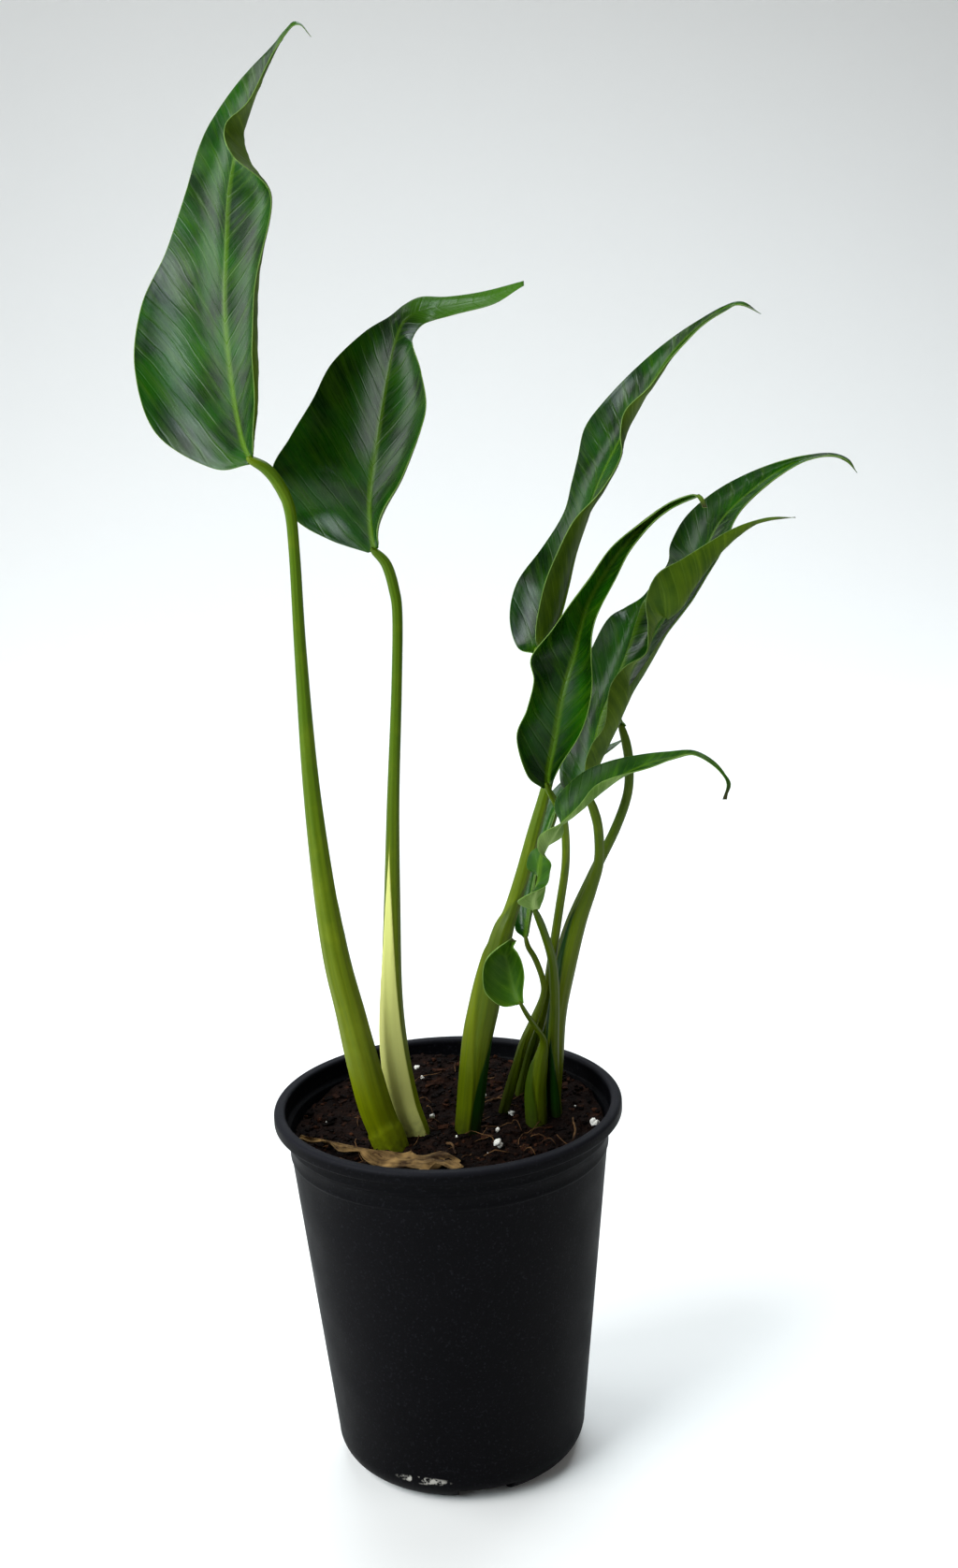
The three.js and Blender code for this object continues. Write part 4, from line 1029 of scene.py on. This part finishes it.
class PotSettings(bpy.types.PropertyGroup):
    """Sizes and colour of the nursery pot."""

    wall: length_of("Wall", "Thickness of the pot's wall", 1.7, min=0.5 * MM)
    lip_width: length_of("Lip width", "Width of the rim seen from above", 5)
    band_step: length_of("Band step", "How far each raised band stands out", 0.35)
    drain_width: length_of("Drain width", "Width of each drain slot", 26)
    steps: count_of("Steps", "Flats round the pot", 144, 48)
    colour: colour_of("Plastic", "Colour of the plastic", "#040406")


class CompostSettings(bpy.types.PropertyGroup):
    """The compost and what lies in it."""

    crumbs: count_of("Crumbs", "Number of loose crumbs", 1500)
    chips: count_of("Chips", "Number of bark chips", 300)
    fibres: count_of("Fibres", "Number of dead root fibres", 64)
    dark: colour_of("Dark", "Colour of wet peat", "#070302")
    brown: colour_of("Brown", "Colour of peat", "#1a0c06")
    tan: colour_of("Tan", "Colour of bark", "#522f1c")
    perlite: colour_of("Perlite", "Colour of perlite", "#dcd8cf")


class PlantSettings(bpy.types.PropertyGroup):
    """Sizes and colours of the stalks and leaves."""

    thickness: length_of("Leaf thickness", "Thickness of a leaf blade", 0.7)
    along: count_of("Rows", "Rows of faces along a leaf", 120, 24)
    across: count_of("Columns", "Columns of faces across a leaf", 40, 8)
    upper: colour_of("Upper side", "Colour of a grown leaf's upper side", "#154600")
    upper_deep: colour_of("Upper side, dark", "Colour of its darkest blotches", "#062400")
    underside: colour_of("Underside", "Colour of a grown leaf's underside", "#425a06")
    young: colour_of("Young leaf", "Colour of a young leaf's upper side", "#264e04")
    rib: colour_of("Midrib", "Colour of the midrib and side veins", "#4c6e0c")
    margin: colour_of("Margin", "Colour of a leaf's thin edge", "#7d9a4a")
    stalk_low: colour_of("Stalk foot", "Colour of a stalk near the compost", "#636c00")
    stalk_high: colour_of("Stalk top", "Colour of a stalk near its leaf", "#486300")
    sheath: colour_of("Leaf base", "Colour of a fully pale leaf base", "#dcde80")


class StageSettings(bpy.types.PropertyGroup):
    """The floor, the light and the camera."""

    floor: colour_of("Floor", "Colour of the paper backdrop", "#f6f5f2")
    light: bpy.props.FloatProperty(
        name="Light", description="Strength of all lamps", default=1.0, min=0
    )
    lens: bpy.props.FloatProperty(
        name="Lens", description="Focal length in mm", default=50.0, min=10
    )
    elevation: angle_of("Camera height", "Angle that the camera looks down by", 14.822)
    roll: angle_of("Camera roll", "Angle that the camera leans by", -2.312)


class PottedPlantSettings(bpy.types.PropertyGroup):
    """Everything that can be changed about the plant."""

    pot: bpy.props.PointerProperty(type=PotSettings)
    compost: bpy.props.PointerProperty(type=CompostSettings)
    plant: bpy.props.PointerProperty(type=PlantSettings)
    stage: bpy.props.PointerProperty(type=StageSettings)


# ---------- operators ----------
class MakePot(bpy.types.Operator):
    """Spins the nursery pot and opens its drain slots"""

    bl_idname = "plant.make_pot"
    bl_label = "Make pot"

    def execute(self, context):
        sizes = context.scene.potted_plant.pot
        bm = bmesh.new()
        turned(bm, pot_profile(sizes.wall, sizes.lip_width, sizes.band_step), sizes.steps)
        open_drains(bm, sizes.drain_width)
        piece("nursery_pot", bm, [pot_material(sizes.colour)], ["pot"])
        return {"FINISHED"}


class MakeCompost(bpy.types.Operator):
    """Fills the pot with compost and roughens its surface"""

    bl_idname = "plant.make_compost"
    bl_label = "Make compost"

    def execute(self, context):
        facts = context.scene.potted_plant.compost
        wall = context.scene.potted_plant.pot.wall
        edge = wall_radius(COMPOST_LEVEL) - wall - 0.3 * MM
        foot = FOOT_RADIUS - wall - FOOT_ROUND + 2 * MM
        bottom = FLOOR_TOP + 0.3 * MM
        profile = [
            (0, bottom),
            (foot - 4 * MM, bottom),
            (foot, FLOOR_TOP + 4 * MM),
            (FOOT_RADIUS - wall - 0.2 * MM, FOOT_ROUND + 6 * MM),
            (edge - 0.3 * MM, COMPOST_LEVEL - 8 * MM),
        ]
        for i in range(COMPOST_RINGS + 1):
            profile.append((edge * (1 - i / COMPOST_RINGS), COMPOST_LEVEL))
        bm = bmesh.new()
        turned(bm, profile, COMPOST_STEPS)
        for v in bm.verts:
            if v.co.z > COMPOST_LEVEL - 1 * MM:
                v.co.z = rough_height(v.co.x, v.co.y)
        peat = peat_material("Peat compost", facts.dark, facts.brown, facts.tan, False)
        piece("compost_bed", bm, [peat], ["compost"])
        return {"FINISHED"}


def drawn_size(rng, sizes):
    """A seeded size in metres from a row of (least, how much more, power)."""
    least, more, power = sizes
    return (least + more * rng.random() ** power) * MM


def strew_crumbs(rng, facts):
    """Strews round crumbs and flat bark chips, each with its own tone."""
    bm = bmesh.new()
    tone = bm.verts.layers.float.new("tone")
    for count, chip in ((facts.crumbs, False), (facts.chips, True)):
        for index in range(count):
            size = drawn_size(rng, CRUMB_SIZES)
            # a chip draws its own size after a crumb's, so that the seeded draws keep their order
            if chip:
                size = drawn_size(rng, CHIP_SIZES)
            x, y = scatter(rng, LITTER_REACH - size / 2, size)
            centre = Vector((x, y, rough_height(x, y) + size * 0.12))
            turn = Matrix.Rotation(rng.random() * ANY_HEADING, 4, "Z")
            turn = turn @ Matrix.Rotation(rng.uniform(-0.5, 0.5), 4, "X")
            shape = Matrix.Diagonal(CHIP_SHAPE if chip else CRUMB_SHAPE)
            place = Matrix.Translation(centre) @ turn @ shape
            if chip:
                made = bmesh.ops.create_cube(bm, size=size, matrix=place)["verts"]
            else:
                made = bmesh.ops.create_icosphere(
                    bm, subdivisions=1, radius=size / 2, matrix=place
                )["verts"]
            lumpy(made, centre, size, index)
            shade = rng.random() ** (1 if chip else 1.8)
            for v in made:
                v[tone] = shade * 0.62
    peat = peat_material("Peat crumbs and bark", facts.dark, facts.brown, facts.tan, True)
    piece("compost_crumbs", bm, [peat], facets=True)


def strew_fibres(rng, count):
    """Strews dead root fibres that bow up off the compost."""
    steps = 7
    bm = bmesh.new()
    for _ in range(count):
        length = drawn_size(rng, FIBRE_LENGTHS)
        x, y = scatter(rng, LITTER_REACH - 12 * MM, 3 * MM)
        heading = rng.random() * ANY_HEADING
        turn = rng.uniform(-1.6, 1.6)
        lift = rng.uniform(0.5, 3.2) * MM
        places = []
        for step in range(steps + 1):
            z = rough_height(x, y) + 0.5 * MM + lift * math.sin(math.pi * step / steps)
            places.append([x, y, z, (0.16 + 0.14 * rng.random()) * MM])
            x += math.cos(heading) * length / steps
            y += math.sin(heading) * length / steps
            heading += turn / steps
            if math.hypot(x, y) > LITTER_REACH:
                break
        if len(places) > 3:
            tube(bm, places, 5, lambda i, angle: (0, 0))
    bmesh.ops.recalc_face_normals(bm, faces=bm.faces)
    root = dead_material("Dead root fibre", linear("#1c1008"), linear("#694a2c"))
    piece("compost_fibres", bm, [root])


def strew_dust(rng, colour):
    """Strews the smallest grains of perlite."""
    bm = bmesh.new()
    for index in range(DUST_GRAINS):
        size = rng.uniform(0.7, 1.7) * MM
        x, y = scatter(rng, LITTER_REACH - 2 * MM, size)
        centre = Vector((x, y, rough_height(x, y) + size * 0.3))
        made = bmesh.ops.create_icosphere(
            bm, subdivisions=1, radius=size / 2, matrix=Matrix.Translation(centre)
        )["verts"]
        lumpy(made, centre, size, index)
    piece("perlite_dust", bm, [perlite_material(colour)])


class MakeCrumbs(bpy.types.Operator):
    """Strews crumbs, bark chips, dead root fibres and perlite dust over the compost"""

    bl_idname = "plant.make_crumbs"
    bl_label = "Make crumbs"

    def execute(self, context):
        facts = context.scene.potted_plant.compost
        rng = random.Random(LITTER_SEED)
        strew_crumbs(rng, facts)
        strew_fibres(rng, facts.fibres)
        strew_dust(rng, facts.perlite)
        return {"FINISHED"}


class MakePerlite(bpy.types.Operator):
    """Makes the larger perlite grains"""

    bl_idname = "plant.make_perlite"
    bl_label = "Make perlite"

    def execute(self, context):
        glass = perlite_material(context.scene.potted_plant.compost.perlite)
        for number in range(1, PERLITE_GRAINS + 1):
            low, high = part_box(f"perlite_{number}")
            centre = (low + high) / 2
            centre.z -= 0.6 * MM
            half = (high - low) / 2
            bm = bmesh.new()
            place = Matrix.Translation(centre) @ Matrix.Diagonal((*half, 1))
            made = bmesh.ops.create_icosphere(bm, subdivisions=4, radius=1, matrix=place)["verts"]
            lumpy(made, centre, half.length, number)
            for v in made:
                v.co += (v.co - centre) * 0.12 * noise.noise(v.co * 1500)
            piece(f"perlite_grain_{number}", bm, [glass], [f"perlite_{number}"])
        return {"FINISHED"}


class MakeTwigs(bpy.types.Operator):
    """Makes the two bits of dead root on the compost"""

    bl_idname = "plant.make_twigs"
    bl_label = "Make twigs"

    def execute(self, context):
        bark = dead_material("Dead root", linear("#24160d"), linear("#7a5a38"), "twig_map")
        steps = 24
        for number, (start, end, radius) in enumerate(TWIGS, 1):
            places = []
            for i in range(steps + 1):
                t = i / steps
                x = (start[0] + (end[0] - start[0]) * t + 0.8 * math.sin(5 * t)) * MM
                y = (start[1] + (end[1] - start[1]) * t) * MM
                lift = radius + 0.3 + 0.8 * math.sin(3 * t)
                z = rest_height(x, y, 2 * MM) + lift * MM
                places.append([x, y, z, radius * MM * (1 - 0.45 * t)])
            bm = bmesh.new()
            tube(
                bm, places, 12, lambda i, angle: (0.12 * MM * math.sin(3 * angle + i), 0),
                "twig_map",
            )
            bmesh.ops.recalc_face_normals(bm, faces=bm.faces)
            piece(f"dead_root_{number}", bm, [bark], [f"twig_{number}"])
        return {"FINISHED"}


class MakeWitheredLeaf(bpy.types.Operator):
    """Makes the crumpled dead leaf that lies on the compost"""

    bl_idname = "plant.make_withered_leaf"
    bl_label = "Make withered leaf"

    def execute(self, context):
        rows = []
        last = len(WITHERED_GUIDE) - 1
        for i, (x, y, half) in enumerate(WITHERED_GUIDE):
            nx, ny = WITHERED_GUIDE[min(i + 1, last)][:2]
            px, py = WITHERED_GUIDE[max(i - 1, 0)][:2]
            turn = math.atan2(ny - py, nx - px)
            row = []
            for side, lift in ((0, 1.4), (1, 2.8), (-1, 2.6)):
                u = (x - side * half * math.sin(turn)) * MM
                v = (y + side * half * math.cos(turn)) * MM
                row.append(Vector((u, v, rest_height(u, v, 3 * MM) + lift * MM)))
            rows.append([*row, 0.16, 0.16])

        def crumple(t, distance, length, share, layer):
            fold = 2.6 - 5.5 * abs(noise.noise(Vector((distance * 150, length * 75, 3.1))))
            torn = math.sin(length / (2.3 * MM)) * share**2 * 0.7
            return (fold + torn) * MM * ease(t, 0, 0.06), 0

        bm = bmesh.new()
        add_blade(bm, rows, 150, 36, 0.5 * MM, crumple)
        dry = dead_material("Withered leaf", linear("#2e1f10"), linear("#8a6d42"), "leaf_map")
        piece("dead_leaf", bm, [dry, dry, dry], ["withered_leaf"])
        return {"FINISHED"}


class MakeStalks(bpy.types.Operator):
    """Makes the nine leaf stalks with the leaf bases that wrap them"""

    bl_idname = "plant.make_stalks"
    bl_label = "Make stalks"

    def execute(self, context):
        facts = context.scene.potted_plant.plant
        flesh = stalk_material("Leaf stalk", facts.stalk_low, facts.stalk_high, facts.sheath)
        for name in STALK_GUIDES:
            rows = stalk_rows(name)
            count = 170 if len(rows) > 9 else 120
            places = [smooth(rows, i / count) for i in range(count + 1)]
            bm = bmesh.new()
            tube(bm, places, 64, stalk_shape(name, places), "stalk_map")
            bmesh.ops.recalc_face_normals(bm, faces=bm.faces)
            piece(f"petiole_{name}", bm, [flesh], [f"stalk_{name}"])
        return {"FINISHED"}


class MakeLeaves(bpy.types.Operator):
    """Makes the nine leaf blades"""

    bl_idname = "plant.make_leaves"
    bl_label = "Make leaves"

    def execute(self, context):
        facts = context.scene.potted_plant.plant
        grown = leaf_material(
            "Leaf blade, waxy upper side", facts.upper, facts.upper_deep, linear("#335604"),
            facts.rib, vein_gap=9 * MM, vein_lift=0.05, rough=0.27, shine=0.25,
        )
        young = leaf_material(
            "Young leaf blade, upper side", facts.young, linear("#143804"), linear("#3c680c"),
            facts.rib, vein_gap=5 * MM, vein_lift=0.1, rough=0.4, shine=0.15,
        )
        cup = leaf_material(
            "Youngest leaf blade", linear("#355a0a"), linear("#264806"), linear("#4c6e12"),
            linear("#48691a"), vein_gap=4 * MM, vein_lift=0.1, rough=0.45, shine=0.12,
        )
        under = leaf_material(
            "Leaf blade, matte underside", facts.underside, linear("#2b4406"), linear("#566e0e"),
            linear("#6a8526"), vein_gap=8 * MM, vein_lift=0.15, rough=0.5, shine=0.1,
        )
        pale_under = leaf_material(
            "Young leaf blade, pale underside", linear("#6c8742"), linear("#4c6c26"),
            linear("#86a058"), linear("#8fa862"), vein_gap=5 * MM, vein_lift=0.15, rough=0.5,
            shine=0.1,
        )
        kinds = {"grown": (grown, under), "young": (young, pale_under), "cup": (cup, pale_under)}
        margin = margin_material("Leaf margin", facts.margin)
        for name, guide in BLADE_GUIDES.items():
            vein_gap, wave, quilt, kind, lighter_from = BLADE_TRAITS[name]
            rows = [[*(planted(p) for p in row[:3]), row[3], row[4]] for row in guide]
            relief = blade_relief(vein_gap, wave, quilt)
            bm = bmesh.new()
            add_blade(bm, rows, facts.along, facts.across, facts.thickness, relief, lighter_from)
            piece(f"leaf_{name}", bm, [*kinds[kind], margin], [f"blade_{name}"])
        return {"FINISHED"}


def lay_backdrop(scene, colour):
    """A sheet of matte studio paper, flat under the pot and swept up behind it."""
    bm = bmesh.new()
    profile = [(-3, 0), (1.6, 0), *arc(1.6, 1.4, 1.4, -90, 0, 16)[1:], (3.0, 4.5)]
    verts = [bm.verts.new((-4, y, z)) for y, z in profile]
    edges = [bm.edges.new(pair) for pair in zip(verts, verts[1:])]
    swept = bmesh.ops.extrude_edge_only(bm, edges=edges)["geom"]
    moved = [v for v in swept if isinstance(v, bmesh.types.BMVert)]
    bmesh.ops.translate(bm, verts=moved, vec=(8, 0, 0))
    bmesh.ops.recalc_face_normals(bm, faces=bm.faces)
    mesh = bpy.data.meshes.new("backdrop")
    bm.to_mesh(mesh)
    bm.free()
    mesh.shade_smooth()
    floor = bpy.data.objects.new("backdrop", mesh)
    scene.collection.objects.link(floor)
    # Uncoated paper: a barely uneven white with no shine
    material, tree, place = fresh("Paper backdrop")
    tooth = node(tree, "TexNoise", {"Vector": place, "Scale": per_metre(16.7), "Detail": 3})[0]
    ground = tinted(tree, colour, [(tooth, 0, 1, 0.04, linear("#dddcd8"))])
    mesh.materials.append(surfaced(material, {"Base Color": ground, "Roughness": 0.9}))


def hang_lamps(scene, strength):
    """The soft lamps round the plant, and a faint glow from all sides."""
    for name, (spot, size, power, tint) in LAMPS.items():
        data = bpy.data.lights.new(name, "AREA")
        data.shape = "SQUARE"
        data.size = size
        data.energy = power * strength
        data.color = tint
        lamp = bpy.data.objects.new(name, data)
        lamp.location = spot
        aim = Vector(LAMP_AIM) - Vector(spot)
        lamp.rotation_euler = aim.to_track_quat("-Z", "Y").to_euler()
        lamp.visible_camera = False
        scene.collection.objects.link(lamp)
    world = bpy.data.worlds.new("Studio")
    scene.world = world
    world.use_nodes = True
    glow = world.node_tree.nodes["Background"].inputs
    glow[0].default_value = STUDIO_TINT
    glow[1].default_value = STUDIO_GLOW
    scene.view_settings.view_transform = "Standard"


def place_camera(scene, facts):
    """The camera, looking along +Y and down, and leaning a little."""
    data = bpy.data.cameras.new("camera")
    data.lens = facts.lens
    data.sensor_width = SENSOR
    camera = bpy.data.objects.new("camera", data)
    scene.collection.objects.link(camera)
    look = Vector((0, math.cos(facts.elevation), -math.sin(facts.elevation)))
    right = Vector((1, 0, 0))
    up = right.cross(look)
    turned_right = right * math.cos(facts.roll) + up * math.sin(facts.roll)
    turned_up = up * math.cos(facts.roll) - right * math.sin(facts.roll)
    matrix = Matrix((turned_right, turned_up, -look)).transposed().to_4x4()
    matrix.translation = Vector(CAMERA_PLACE) * MM
    camera.matrix_world = matrix
    scene.camera = camera


class MakeStage(bpy.types.Operator):
    """Makes the floor, the lights and the camera"""

    bl_idname = "plant.make_stage"
    bl_label = "Make stage"

    def execute(self, context):
        facts = context.scene.potted_plant.stage
        lay_backdrop(context.scene, facts.floor)
        hang_lamps(context.scene, facts.light)
        place_camera(context.scene, facts)
        return {"FINISHED"}


class PlantPanel(bpy.types.Panel):
    """Lists what the plant is made of"""

    bl_idname = "VIEW3D_PT_potted_plant"
    bl_label = "Potted plant"
    bl_space_type = "VIEW_3D"
    bl_region_type = "UI"
    bl_category = "Plant"

    def draw(self, context):
        settings = context.scene.potted_plant
        for group in (settings.pot, settings.compost, settings.plant, settings.stage):
            box = self.layout.box()
            for key in group.bl_rna.properties.keys():
                if key not in ("rna_type", "name"):
                    box.prop(group, key)
        for operator in OPERATORS:
            self.layout.operator(operator.bl_idname)


OPERATORS = (
    MakePot, MakeCompost, MakeCrumbs, MakePerlite, MakeTwigs, MakeWitheredLeaf,
    MakeStalks, MakeLeaves, MakeStage,
)
GROUPS = (PotSettings, CompostSettings, PlantSettings, StageSettings, PottedPlantSettings)


def register():
    for item in (*GROUPS, *OPERATORS, PlantPanel):
        bpy.utils.register_class(item)
    bpy.types.Scene.potted_plant = bpy.props.PointerProperty(type=PottedPlantSettings)


def unregister():
    del bpy.types.Scene.potted_plant
    for item in reversed((*GROUPS, *OPERATORS, PlantPanel)):
        bpy.utils.unregister_class(item)


def main():
    register()
    for operator in OPERATORS:
        family, action = operator.bl_idname.split(".")
        getattr(getattr(bpy.ops, family), action)()


if __name__ == "__main__":
    main()
